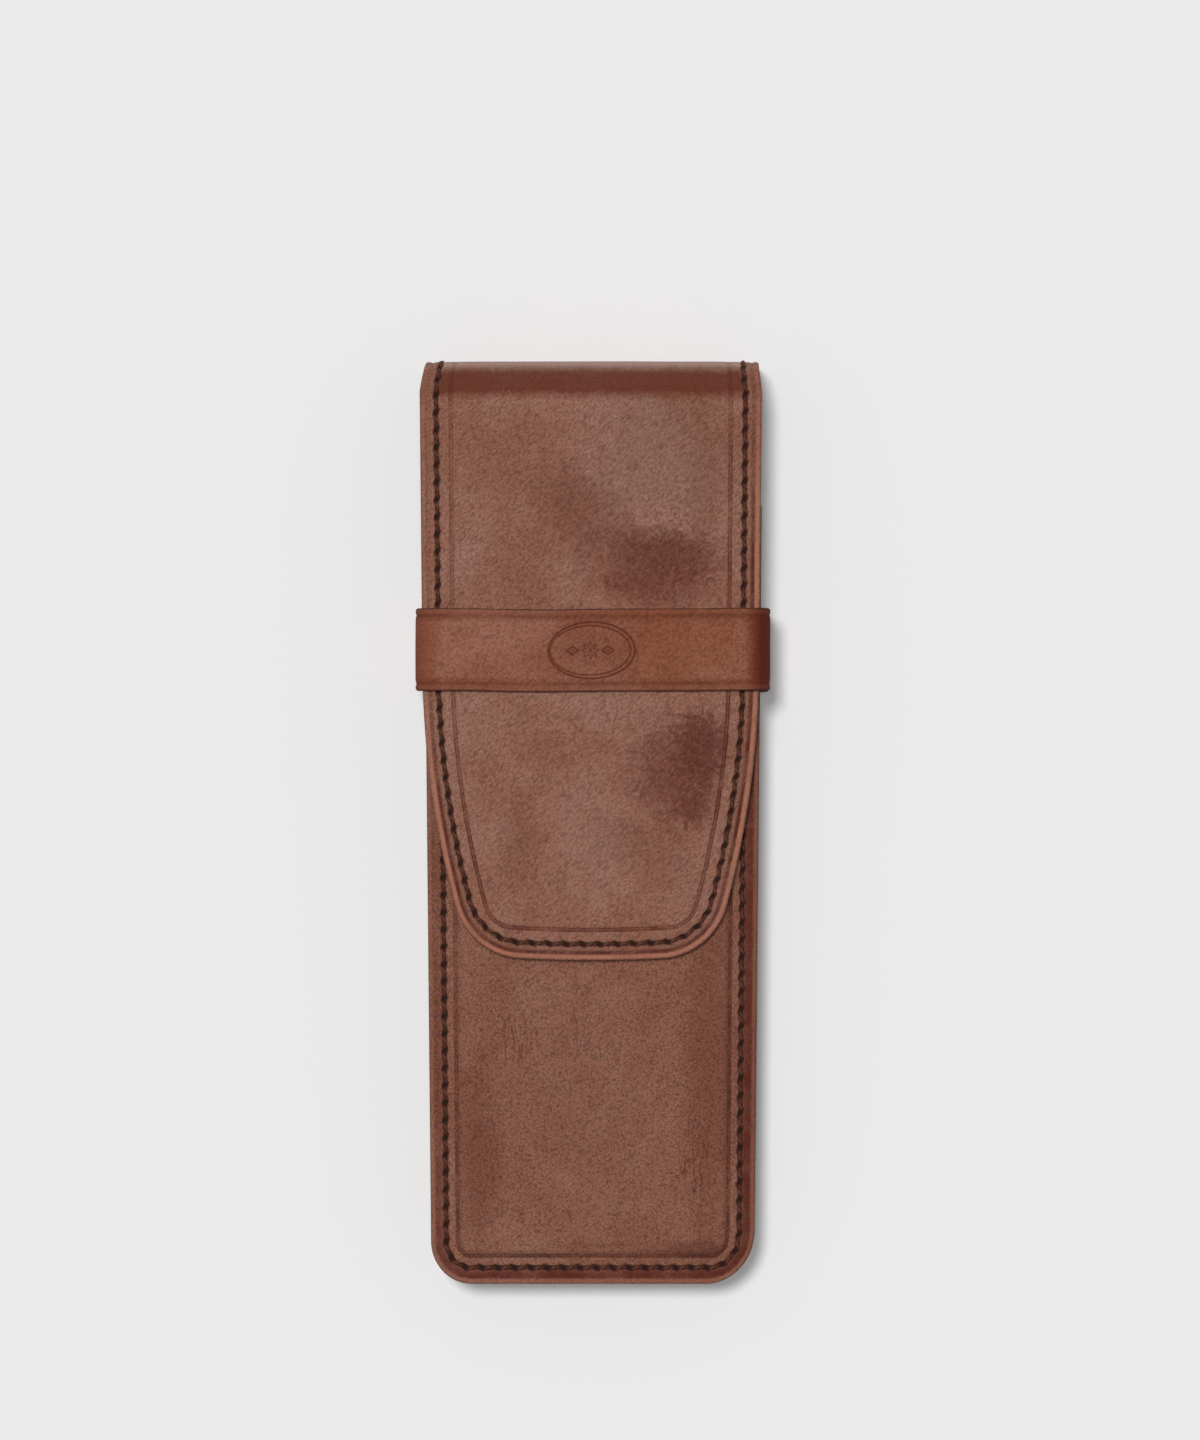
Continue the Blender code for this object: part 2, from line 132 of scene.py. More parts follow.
def flapPlace(across, along, out):
    # the flap has spread a touch over the case and sits a little to the left
    share = np.clip((along - cutRun) / (flapStart - cutRun), 0, 1)
    share = share * share * (3 - 2 * share)
    spread = 1 + caseShape["flapSpread"] / halfWidth * share
    return wrapPlace(across * spread + caseShape["flapShift"] * share, along, out)


def unevenness(across, along, size, reach, seed):
    # five slow, low waves such as hand-cut and glued leather has; the odd numbers only keep their
    # directions, lengths and starts apart
    total = 0
    for number in range(5):
        angle = seed * 1.7 + number * 2.4
        pitch = reach * (0.6 + 0.27 * number)
        travel = across * math.cos(angle) + along * math.sin(angle)
        total = total + np.sin(travel / pitch * 2 * math.pi + seed * 3.1 + number * 1.3)
    return total * size / 5


# Outlines: the right side from the cut or mouth down to the middle of the foot


def straight(start, end, count):
    share = np.arange(count)[:, None] / count
    return np.array(start) * (1 - share) + np.array(end) * share


def arc(centre, radius, startAngle, endAngle, count):
    angles = startAngle + (endAngle - startAngle) * np.arange(count) / count
    return np.array(centre) + radius * np.stack([np.cos(angles), np.sin(angles)], axis=-1)


def footSide(inset, top):
    # straight leg, rounded corner, half of the straight foot
    radius = caseShape["cornerRadius"]
    step = caseShape["meshStep"]
    centre = (halfWidth - radius, radius)
    legCount = round((top - radius) / step)
    cornerCount = caseShape["cornerCount"]
    footCount = round((halfWidth - radius) / step)
    leg = straight((halfWidth - inset, top - inset), (halfWidth - inset, radius), legCount)
    corner = arc(centre, radius - inset, 0, -math.pi / 2, cornerCount)
    foot = straight((centre[0], inset), (0, inset), footCount)
    line = np.concatenate([leg, corner, foot, [(0, inset)]])
    return line, legCount + cornerCount // 2


def openFootSide(inset, top):
    line, corner = footSide(inset, top)
    line[:, 1] = np.where(line[:, 1] > top - inset - 1e-6, top, line[:, 1])
    return line, corner


flapShape = {
    "length": 106.5,
    "straight": 55.0,
    "sideRadius": 162.0,
    "cornerRadius": 12.9,
    "leastRadius": 0.5,
    "tipRadius": 260.0,
    "creaseRadius": 5.2,  # the crease inside the stitches turns more sharply than the edge
    "creaseFrom": 3.3,  # how far in from the edge that starts
    "creaseOver": 2.0,
    "middleFrom": 5.3,  # further in, the corners close up
    "middleClosing": 0.6,
    "sideCount": 78,
    "cornerCount": 34,
    "tipCount": 32,
}


def flapSide(inset, top):
    # straight, long side curve, tight corner, half of the gently curved tip
    shape = flapShape
    sideStart = flapStart + shape["straight"] - foldRadius
    tipRun = flapStart + shape["length"] - foldRadius
    sideCentre = Vector((halfWidth - shape["sideRadius"], sideStart))
    tipCentre = Vector((0, tipRun - shape["tipRadius"]))
    plain = max(shape["cornerRadius"] - inset, shape["leastRadius"])
    inner = min(max((inset - shape["creaseFrom"]) / shape["creaseOver"], 0), 1)
    turnRadius = plain + (min(shape["creaseRadius"], plain) - plain) * inner
    turnRadius = turnRadius - max(inset - shape["middleFrom"], 0) * shape["middleClosing"]
    sideReach = shape["sideRadius"] - inset - turnRadius
    tipReach = shape["tipRadius"] - inset - turnRadius
    gap = tipCentre - sideCentre
    ahead = (gap.length_squared + sideReach**2 - tipReach**2) / (2 * gap.length)
    aside = math.sqrt(sideReach**2 - ahead**2)
    direction = gap.normalized()
    middle = sideCentre + direction * ahead + Vector((-direction.y, direction.x)) * aside
    sideEnd = math.atan2(middle.y - sideCentre.y, middle.x - sideCentre.x)
    tipStart = math.atan2(middle.y - tipCentre.y, middle.x - tipCentre.x)
    half = halfWidth - inset
    legCount = round((sideStart - top) / caseShape["meshStep"])
    leg = straight((half, top), (half, sideStart), legCount)
    side = arc(sideCentre, shape["sideRadius"] - inset, 0, sideEnd, shape["sideCount"])
    corner = arc(middle, turnRadius, sideEnd, tipStart, shape["cornerCount"])
    tip = arc(tipCentre, shape["tipRadius"] - inset, tipStart, math.pi / 2, shape["tipCount"])
    line = np.concatenate([leg, side, corner, tip, [(0, tipRun - inset)]])
    return line, legCount + shape["sideCount"] + shape["cornerCount"] // 2


def wholeLine(outline, inset):
    # one way round the leather, with its middle always on the left of the way
    side, corner = outline["side"](inset, outline["top"])
    mirrored = side * (-1, 1)
    first, second = (side, mirrored) if outline["startsRight"] else (mirrored, side)
    line = np.concatenate([first, second[-2::-1]])
    if outline["closed"]:
        # back along the mouth, with the thumb scoop in its middle
        count = len(line) - 1 - 2 * corner
        share = np.arange(1, count) / count
        across = (halfWidth - inset) * (1 - 2 * share)
        width = caseShape["scoopWidth"]
        dip = (1 + np.cos(2 * math.pi * across / width)) / 2 * (np.abs(across) < width / 2)
        along = outline["top"] - inset - caseShape["scoopDepth"] * dip
        line = np.concatenate([line, np.stack([across, along], axis=-1)])
    return line, corner


# The panels, and the bodies that carry them. Back and flap cross a bend of the fold.
bendEase = 1.5
panels = {
    "back": {
        "side": openFootSide,
        "top": cutRun,
        "startsRight": True,
        "closed": False,
        "inward": -1,
        "place": wrapPlace,
        "bodies": ("case", "fold"),
        "bend": [(0, bendY - bendEase, -bendEase), (0, topY + bendEase, foldRadius + bendEase)],
    },
    "flap": {
        "side": flapSide,
        "top": cutRun,
        "startsRight": False,
        "closed": False,
        "inward": -1,
        "place": flapPlace,
        "bodies": ("fold", "flap"),
        "bend": [
            (0, topY + bendEase, caseShape["flapTop"] - foldRadius - bendEase),
            (0, bendY - bendEase, caseShape["flapTop"] + bendEase),
        ],
    },
    "front": {
        "side": footSide,
        "top": mouthRun,
        "startsRight": False,
        "closed": True,
        "inward": 1,
        "place": frontPlace,
        "bodies": ("case",),
        "bend": None,
    },
}


def seamDistances(outline, look):
    # distance along the stitch line, stretched a little so that a whole number of stitches fits
    line = wholeLine(outline, look["seamInset"])[0]
    if outline["closed"]:
        line = np.concatenate([line, line[:1]])
    lengths = np.linalg.norm(np.diff(line, axis=0), axis=1)
    distance = np.concatenate([[0], np.cumsum(lengths)])
    count = round(distance[-1] / look["stitchPitch"])
    return line, distance, distance[-1] / count, count


# Meshes


def makeMesh(name, points, faces, hide, edge, material):
    # hide is each point's place on the skin laid flat, edge its run along the seam and distance in
    mesh = bpy.data.meshes.new(name)
    mesh.from_pydata((points.reshape(-1, 3) * toMetres).tolist(), [], faces)
    mesh.update()
    mesh.shade_smooth()
    for label, values in (("hide", hide), ("edge", edge)):
        layer = mesh.attributes.new(label, "FLOAT_VECTOR", "POINT")
        layer.data.foreach_set("vector", (values * toMetres).astype(np.float32).ravel())
    mesh.materials.append(material)
    piece = bpy.data.objects.new(name, mesh)
    bpy.context.scene.collection.objects.link(piece)
    return piece


def gridFaces(index):
    # quads between the rows and columns of an array of point numbers
    quads = np.stack([index[:-1, :-1], index[:-1, 1:], index[1:, 1:], index[1:, :-1]], axis=-1)
    return quads.reshape(-1, 4).tolist()


def withMiddles(values):
    # a point halfway between each two
    doubled = np.repeat(values, 2, axis=0)[:-1]
    doubled[1::2] = (values[:-1] + values[1:]) / 2
    return doubled


def joinRings(outer, inner):
    # faces between two rings of point numbers, one of which may have twice the points
    if len(outer) == len(inner):
        return gridFaces(np.stack([outer, inner]))
    fine, coarse = (inner, outer) if len(outer) < len(inner) else (outer, inner)
    faces = []
    for a, b, c, low, high in zip(fine[:-1:2], fine[1::2], fine[2::2], coarse[:-1], coarse[1:]):
        if fine is inner:
            faces += [[low, b, a], [low, high, b], [high, c, b]]
        else:
            faces += [[a, b, low], [b, high, low], [b, c, high]]
    return [[int(number) for number in face] for face in faces]


def panelWave(places, look):
    return unevenness(places[..., 0], places[..., 1], look["wave"], look["waveReach"], look["seed"])


def makePanel(name, outline, look, material):
    # rings of points that follow the cut edge inwards, then a patch inside the last ring
    distance, pitch = seamDistances(outline, look)[1:3]
    slant = math.radians(look["holeTurn"])
    points, rings = [], []
    total = 0
    for inset, out in look["profile"]:
        line, corner = wholeLine(outline, inset)
        if outline["closed"]:
            line = np.concatenate([line, line[:1]])
        run = distance
        if look["fineFrom"] < inset < look["fineTo"]:
            line, run = withMiddles(line), withMiddles(run)
        # the leather dips at each hole of the seam
        ahead = ((run / pitch) % 1 - 0.5) * pitch
        inwards = inset - look["seamInset"]
        lengthwise = (ahead * math.cos(slant) - inwards * math.sin(slant)) / look["holeLength"]
        crosswise = (ahead * math.sin(slant) + inwards * math.cos(slant)) / look["holeWidth"]
        height = out - look["dimple"] * np.exp(-look["dimpleFall"] * (lengthwise**2 + crosswise**2))
        height = height + panelWave(line, look)
        height = np.minimum(height, look["ceiling"])
        ring = np.stack([line[:, 0], line[:, 1], height, run, run * 0 + inset], axis=-1)
        index = total + np.arange(len(ring))
        if outline["closed"]:
            ring = ring[:-1]
            index[-1] = index[0]
        total += len(ring)
        points.append(ring)
        rings.append(index)
    points = np.concatenate(points)
    faces = []
    for outer, inner in zip(rings[:-1], rings[1:]):
        faces += joinRings(outer, inner)

    # the patch's rim takes the last ring's points, and its inside is drawn between its four sides
    legCount = corner
    footCount = 2 * (len(outline["side"](0, outline["top"])[0]) - 1 - corner)
    last = rings[-1]
    patch = np.full((legCount + 1, footCount + 1), -1)
    patch[0] = last[corner:corner + footCount + 1]
    patch[:, 0] = last[corner::-1]
    patch[:, -1] = last[corner + footCount:2 * corner + footCount + 1]
    if outline["closed"]:
        patch[-1] = last[2 * corner + footCount:][::-1]
    inside = patch < 0
    u = np.arange(footCount + 1)[:, None] / footCount
    v = np.arange(legCount + 1)[:, None, None] / legCount
    flat = np.zeros((legCount + 1, footCount + 1, 5))
    flat[~inside] = points[patch[~inside]]
    if not outline["closed"]:
        flat[-1] = flat[-1, :1] * (1 - u) + flat[-1, -1:] * u
    foot, top, start, end = flat[0], flat[-1], flat[:, :1], flat[:, -1:]
    flat = (1 - v) * foot + v * top + (1 - u) * start + u * end
    flat -= (1 - v) * ((1 - u) * foot[0] + u * foot[-1]) + v * ((1 - u) * top[0] + u * top[-1])
    pillowCount = look["pillowReach"] / caseShape["meshStep"]
    rise = np.sin(math.pi * u) * np.sin(np.minimum(v * legCount / pillowCount, 1) * math.pi / 2)
    if outline["closed"]:
        rise = rise * np.sin(np.minimum((1 - v) * legCount / pillowCount, 1) * math.pi / 2)
    height = look["profile"][-1][1] + look["pillow"] * rise[..., 0] + panelWave(flat, look)
    flat[..., 2] = np.minimum(height, look["ceiling"])
    flat[..., 3:] = (0, look["middleInset"])
    patch[inside] = len(points) + np.arange(inside.sum())
    points = np.concatenate([points, flat[inside]])
    faces += gridFaces(patch)
    if look["faceIn"]:
        faces = [face[::-1] for face in faces]

    world = outline["place"](points[:, 0], points[:, 1], points[:, 2])
    edge = np.stack([points[:, 3], points[:, 4], points[:, 0] * 0], axis=-1)
    return makeMesh(name, world, faces, points[:, :3], edge, material)


def makeTube(name, rows, material):
    # a closed skin over rows of closed section loops, each with its hide and edge values
    grid, hide, edge = (np.array(part) for part in zip(*rows))
    index = np.arange(grid[..., 0].size).reshape(grid.shape[:2])
    index = np.concatenate([index, index[:, :1]], axis=1)
    faces = gridFaces(index)
    faces.append(index[0, :-1].tolist())
    faces.append(index[-1, -2::-1].tolist())
    piece = makeMesh(name, grid, faces, hide, edge, material)
    turnFacesOut(piece)
    return piece


def turnFacesOut(piece):
    # a closed skin whose faces look inwards is turned round
    mesh = piece.data
    mesh.calc_loop_triangles()
    corners = np.zeros(len(mesh.loop_triangles) * 3, int)
    mesh.loop_triangles.foreach_get("vertices", corners)
    places = np.zeros(len(mesh.vertices) * 3)
    mesh.vertices.foreach_get("co", places)
    places = places.reshape(-1, 3)[corners].reshape(-1, 3, 3)
    volume = np.einsum("ij,ij->i", places[:, 0], np.cross(places[:, 1], places[:, 2])).sum()
    if volume < 0:
        mesh.flip_normals()


# Materials


def linearColour(hexText):
    channels = [int(hexText[place:place + 2], 16) / 255 for place in (1, 3, 5)]
    line = [c / 12.92 if c <= 0.04045 else ((c + 0.055) / 1.055) ** 2.4 for c in channels]
    return (*line, 1)


def startMaterial(name, values):
    material = bpy.data.materials.new(name)
    material.use_nodes = True
    sockets = material.node_tree.nodes["Principled BSDF"].inputs
    for socket, value in values.items():
        sockets[socket].default_value = value
    return material, material.node_tree, sockets


def linkTo(tree, source, socket):
    # source is "node" for its first output, or "node.Output"
    origin, dot, output = source.partition(".")
    outputs = tree.nodes[origin].outputs
    tree.links.new(outputs[int(output) if output.isdigit() else output or 0], socket)


def addNode(tree, label, kind, sockets=(), **settings):
    # kind may end in a math node's operation; each socket, by name or in order, takes a value or
    # a link, and None leaves it as it is
    kind, *operation = kind.split()
    node = tree.nodes.new("ShaderNode" + kind)
    node.name = label
    if operation:
        node.operation = operation[0]
    for key, value in settings.items():
        setattr(node, key, value)
    for key, value in sockets.items() if isinstance(sockets, dict) else enumerate(sockets):
        if isinstance(value, str):
            linkTo(tree, value, node.inputs[key])
        elif value is not None:
            node.inputs[key].default_value = value
    return node


def setRamp(node, stops):
    ramp = node.color_ramp
    while len(ramp.elements) > 1:
        ramp.elements.remove(ramp.elements[-1])
    for number, (position, colour) in enumerate(stops):
        element = ramp.elements.new(position) if number else ramp.elements[0]
        element.position = position
        element.color = linearColour(colour) if isinstance(colour, str) else colour


def startSkin(name, look):
    # leather and linen have the usual IOR of 1.5, and each skin carries its own coordinates
    start = {"IOR": 1.5, "Metallic": 0.0, "Specular IOR Level": look["specular"]}
    material, tree, sockets = startMaterial(name, start)
    for label in ("hide", "edge"):
        addNode(tree, label, "Attribute", attribute_name=label)
    return material, tree, sockets


def addSpot(tree, label, source, place, size, turn):
    # 0 in the middle of an ellipse, 1 at its rim
    spot = {0: source, "Location": place, "Rotation": (0, 0, math.radians(turn)), "Scale": size}
    addNode(tree, label + "Way", "Mapping", spot, vector_type="TEXTURE")
    addNode(tree, label + "Reach", "VectorMath LENGTH", [label + "Way"])


def addTones(tree, look):
    # slow tone changes over the skin, redder wisps, and how strong its lines are from place to place
    for label, size, detail, warp in look["noises"]:
        noise = {"Scale": perMetre / size, "Detail": detail, "Roughness": 0.6, "Distortion": warp}
        addNode(tree, label, "TexNoise", {"Vector": "hide.Vector", **noise})
    addNode(tree, "tone", "Mix", {0: look["blotches"], 2: "broad.Fac", 3: "blotch.Fac"})
    body = addNode(tree, "body", "ValToRGB", ["tone"])
    setRamp(body, [(0.40, look["deep"]), (0.50, look["main"]), (0.60, look["pale"])])
    addNode(tree, "flush", "MapRange", ["wisps.Fac", 0.42, 0.62, 0, 0.28])
    tint = {0: "flush", 6: "body", 7: linearColour(look["flush"])}
    addNode(tree, "flushed", "Mix", tint, data_type="RGBA")
    addNode(tree, "wear", "MapRange", ["blotch.Fac", 0.35, 0.6, 0.55, 1.1])


def addGrain(tree, look):
    # pebble grain about 0.4 mm across, twice as coarse as real calf's so that it shows, and drawn
    # out along a diagonal
    size = perMetre / look["grainSize"]
    stretch = {"Rotation": (0, 0, math.radians(look["grainTurn"])), "Scale": (look["grainStretch"], 1, 1)}
    addNode(tree, "grainWay", "Mapping", {0: "hide.Vector", **stretch}, vector_type="TEXTURE")
    pebbles = {"Vector": "grainWay", "Scale": size, "Smoothness": 0.5}
    addNode(tree, "pebble", "TexVoronoi", pebbles, feature="SMOOTH_F1")
    ridges = {"Vector": "grainWay", "Scale": 1.5 * size, "Detail": 3, "Roughness": 0.65, "Distortion": 0.3}
    addNode(tree, "ridge", "TexNoise", ridges)
    addNode(tree, "hollow", "Math MULTIPLY", ["pebble", -0.5])
    addNode(tree, "grain", "Math MULTIPLY_ADD", ["ridge", 1.0, "hollow"])
    addNode(tree, "grainShare", "MapRange", ["grain", -0.02, 0.60])
    tone = look["grainTone"]
    hollows = (1 - tone, 1 - 1.06 * tone, 1 - 1.22 * tone, 1)  # browner, not greyer
    tints = {0: "grainShare", 6: hollows, 7: (1 + tone, 1 + tone, 1 + tone, 1)}
    addNode(tree, "grainTone", "Mix", tints, data_type="RGBA", clamp_result=False)
    addNode(tree, "patchy", "MapRange", ["ridge.Fac", 0.35, 0.65, 0.6, 1.35])


def addWrinkles(tree, look):
    # for flexed places: long wrinkles, and a net of finer ones
    folds = {0: "hide.Vector", "Scale": (1.0, look["wrinkleStretch"], 1.0)}
    addNode(tree, "wrinkleWay", "Mapping", folds, vector_type="TEXTURE")
    size = perMetre / look["wrinkleSize"]
    waves = {"Vector": "wrinkleWay", "Scale": size, "Detail": 2, "Distortion": 0.5}
    addNode(tree, "waves", "TexNoise", waves)
    addNode(tree, "waveSide", "Math SUBTRACT", ["waves.Fac", 0.5])
    addNode(tree, "waveGap", "Math ABSOLUTE", ["waveSide"])
    addNode(tree, "wrinkle", "MapRange", ["waveGap", 0.035, 0.006])
    warp = {0: 0.0016, 4: "hide.Vector", 5: "wisps.Color"}
    addNode(tree, "netWarp", "Mix", warp, data_type="VECTOR")
    cells = {"Vector": "netWarp.1", "Scale": perMetre / look["netSize"]}
    addNode(tree, "cells", "TexVoronoi", cells, feature="DISTANCE_TO_EDGE")
    addNode(tree, "net", "MapRange", ["cells", 0.07, 0.01])


def addMarks(tree, look, coats):
    # places that are dyed or flexed, and one paler patch of painted sheen, wispy at their rims
    height = "grainHeight"
    addNode(tree, height, "Math MULTIPLY", ["grain", look["grainDepth"]])
    for number, (kind, across, along, wide, high, turn, strength, hexText) in enumerate(look["marks"]):
        label = f"mark{number}"
        place = (across * toMetres, along * toMetres, 0)
        addSpot(tree, label, "hide.Vector", place, (wide * toMetres, high * toMetres, 10), turn)
        rim = ["wisps.Fac", -1.6, label + "Reach.Value"]
        addNode(tree, label + "Rim", "Math MULTIPLY_ADD", rim)
        near = [label + "Rim", 0.5, -0.45, 0, strength]
        addNode(tree, label + "Near", "MapRange", near, interpolation_type="SMOOTHSTEP")
        addNode(tree, label, "Math MULTIPLY", [label + "Near", "patchy"], use_clamp=True)
        if kind != "dye":
            addNode(tree, label + "Line", "Math MULTIPLY", [label, kind])
            depth = [label + "Line", -look["wrinkleDepth"], height]
            height = label + "Height"
            addNode(tree, height, "Math MULTIPLY_ADD", depth)
            label = label + "Line"
        coats.append((label, hexText, look["dyeDull"]))
    return height


def addHoles(tree, look, coats, height):
    # slanted holes of the pricking iron, darkened with painted shade, and a painted highlight beside each,
    # where the leather stands up between the holes
    pitch = look["stitchPitch"]
    addNode(tree, "turns", "Math MULTIPLY", ["cut.X", perMetre / pitch])
    addNode(tree, "phase", "Math FRACT", ["turns"])
    addNode(tree, "ahead", "Math MULTIPLY_ADD", ["phase", pitch, -pitch / 2])
    inwards = ["cut.Y", perMetre, -look["seamInset"]]
    addNode(tree, "inwards", "Math MULTIPLY_ADD", inwards)
    addNode(tree, "seamPlace", "CombineXYZ", ["ahead", "inwards"])
    beforeHole, beside, long, wide, strength = look["tick"]
    turn = -look["holeTurn"]
    addSpot(tree, "tick", "seamPlace", (beforeHole, beside, 0), (long, wide, 1), turn)
    tickHighlight = ["tickReach.Value", 1.0, 0.0, 0, strength]
    addNode(tree, "tick", "MapRange", tickHighlight, interpolation_type="SMOOTHSTEP")
    coats.append(("tick", look["tickHighlight"], look["lineDull"]))
    addSpot(tree, "hole", "seamPlace", (0, 0, 0), (look["holeLength"], look["holeWidth"], 1), turn)
    addNode(tree, "hole", "MapRange", ["holeReach.Value", 1.25, 0.55], interpolation_type="SMOOTHSTEP")
    addNode(tree, "holeHeight", "Math MULTIPLY_ADD", ["hole", -look["holeDepth"], height])
    return "holeHeight"


def addBands(tree, look, coats):
    # bands over the skin with uneven rims, and lines that follow the cut edge. Both hold painted light
    # as well as the leather's own colour: painted highlights, painted shade in grooves and on bends,
    # and lines whose painted shade can be made heavier on one side
    acrossPart, alongPart, *lineReach = look["lineFade"]
    way = ["hide.Vector", (acrossPart, alongPart, 0)]
    addNode(tree, "fadeWay", "VectorMath DOT_PRODUCT", way)
    fades = {"fade": ("fadeWay.Value", lineReach), "bandFade": ("cut.Y", look["bandFade"])}
    for label, (source, (start, end, least)) in fades.items():
        addNode(tree, label, "MapRange", [source, start * toMetres, end * toMetres, least])
    addNode(tree, "creaseFade", "Math MULTIPLY_ADD", ["fade", 0.6, 0.4])
    addNode(tree, "wornCrease", "Math MULTIPLY", ["wear", "creaseFade"])
    addNode(tree, "wornLine", "Math MULTIPLY", ["wear", "fade"])
    for label, axis in (("across", "X"), ("along", "Y")):
        sway = ["wisps.Fac", look["bandSway"] * toMetres, "spot." + axis]
        addNode(tree, label, "Math MULTIPLY_ADD", sway)
    measures = {
        "rim": ("cut.Y", "wornLine", look["lineDull"]),
        "cut": ("cut.Y", "wear", look["lineDull"]),
        "crease": ("cut.Y", "wornCrease", look["lineDull"]),
        "across": ("across", "bandFade", look["bandDull"]),
        "along": ("along", "bandFade", look["bandDull"]),
    }
    lines = [(kind, *look["lineSpan"], stops, hexText) for kind, stops, hexText in look["lines"]]
    for number, (kind, start, end, stops, hexText) in enumerate(look["bands"] + lines):
        measure, worn, dullness = measures[kind]
        label = f"band{number}"
        addNode(tree, label + "Reach", "MapRange", [measure, start * toMetres, end * toMetres])
        levels = addNode(tree, label + "Level", "ValToRGB", [label + "Reach"])
        setRamp(levels, [((at - start) / (end - start), (level, level, level, 1)) for at, level in stops])
        addNode(tree, label, "Math MULTIPLY", [label + "Level", worn], use_clamp=True)
        coats.append((label, hexText, dullness))


def leatherMaterial(name, look):
    material, tree, shader = startSkin(name, look)
    addNode(tree, "spot", "SeparateXYZ", ["hide.Vector"])
    addNode(tree, "cut", "SeparateXYZ", ["edge.Vector"])  # along the seam, in from the edge, pressed
    addTones(tree, look)
    addGrain(tree, look)
    addWrinkles(tree, look)
    coats = []  # each coat's mask, colour and dullness, from the lowest to the highest
    height = addMarks(tree, look, coats)
    grainAfter = len(coats)  # the grain is laid over these and under the rest
    if look["stitchPitch"]:
        height = addHoles(tree, look, coats, height)
    addBands(tree, look, coats)
    # darker where the keeper's tools pressed in the stamp
    pressed = ["cut.Z", perMetre * look["pressTone"]]
    addNode(tree, "pressed", "Math MULTIPLY", pressed, use_clamp=True)
    coats.append(("pressed", look["stampDark"], look["lineDull"]))
    # the holes' near-black colour is painted shade in them
    if look["stitchPitch"]:
        coats.append(("hole", look["hole"], look["lineDull"]))

    colour, dulled = "flushed.2", "sheen"
    addNode(tree, "sheen", "MapRange", ["tone", 0.43, 0.57, look["roughLow"], look["roughHigh"]])
    for number, (mask, hexText, dullness) in enumerate(coats):
        if number == grainAfter:
            grained = {0: 1.0, 6: colour, 7: "grainTone.2"}
            addNode(tree, "grained", "Mix", grained, data_type="RGBA", blend_type="MULTIPLY")
            colour = "grained.2"
        tint = {0: mask, 6: colour, 7: linearColour(hexText)}
        addNode(tree, mask + "Coat", "Mix", tint, data_type="RGBA")
        colour = mask + "Coat.2"
        addNode(tree, mask + "Dull", "Math MULTIPLY_ADD", [mask, dullness, dulled])
        dulled = mask + "Dull"
    linkTo(tree, colour, shader["Base Color"])

    # ridges of the grain are polished, its hollows stay dull
    addNode(tree, "rough", "Math MULTIPLY_ADD", ["grain", -look["grainGloss"], dulled])
    linkTo(tree, "rough", shader["Roughness"])
    addNode(tree, "relief", "Bump", {"Strength": 1.0, "Distance": toMetres, "Height": height})
    linkTo(tree, "relief", shader["Normal"])
    return material


# Vegetable-tanned calf, glazed and waxed: warm red-brown, a fine pebble grain, soft satin sheen,
# darker and redder where a tool has pressed it. Its colour also carries painted light: painted
# highlights on the edge beads and the fold's top, and painted shade in the holes, grooves and
# creases, under the thread and on the bends of the fold and the strap.
panelLook = {
    "stitchPitch": 3.08,
    "seamInset": 2.9,
    "fineFrom": 2.25,
    "fineTo": 3.65,
    "holeTurn": 32,  # between the slanted holes and the seam, in degrees
    "holeLength": 0.95,
    "holeWidth": 0.42,
    "holeDepth": 0.2,
    "dimple": 0.38,
    "dimpleFall": 1.1,
    "wave": 0.06,
    "waveReach": 23,
    "pillow": 0.15,
    "pillowReach": 16,
    "ceiling": 1.0,
    "seed": 1,
    "faceIn": False,
    "middleInset": 20,  # the edge value of a panel's middle, further in than any line
    "specular": 0.5,
    "deep": "#814f3a",
    "main": "#875641",
    "pale": "#8c5d4a",
    "flush": "#8e5648",
    # each one's size in millimetres, detail and warp
    "noises": [("broad", 25.0, 3, 0.6), ("blotch", 6.25, 4, 0.8), ("wisps", 2.381, 5, 1.6)],
    "stampDark": "#4f2014",
    # painted shade in the stitch holes
    "hole": "#2b0a04",
    "grainSize": 0.38,
    "grainTurn": -42,
    "grainStretch": 1.9,
    "grainTone": 0.45,
    "grainDepth": 0.22,
    "grainGloss": 0.35,
    "wrinkleDepth": 0.04,
    "wrinkleStretch": 7.0,
    "wrinkleSize": 1.25,
    "netSize": 1.786,
    "roughLow": 0.82,
    "roughHigh": 0.68,
    "dyeDull": 0.18,
    "bandDull": 0.45,
    "lineDull": 0.3,
    "blotches": 0.3,
    # where and how strong the painted highlight beside each hole is
    "tick": (0.95, 0.5, 1.0, 0.26, 0.3),
    "tickHighlight": "#a5806f",
    "bandSway": 1.6,
    "bandFade": (0.0, 1.0, 1.0),
    "pressTone": 1.6,
    "lineFade": (0, 1, 0.0, 1.0, 1.0),
    "lineSpan": (-1, 9),
    "marks": [],
    "bands": [],
    "lines": [],
}
cutLine = ("cut", [(-1, 1), (-0.2, 1), (0.02, 0.5), (0.16, 0)], "#481b10")
# painted shadow of the thread: a dark line along the seam under it
threadShadowLine = ("cut", [(2.35, 0), (2.6, 0.85), (3.2, 0.85), (3.45, 0)], "#3c150b")
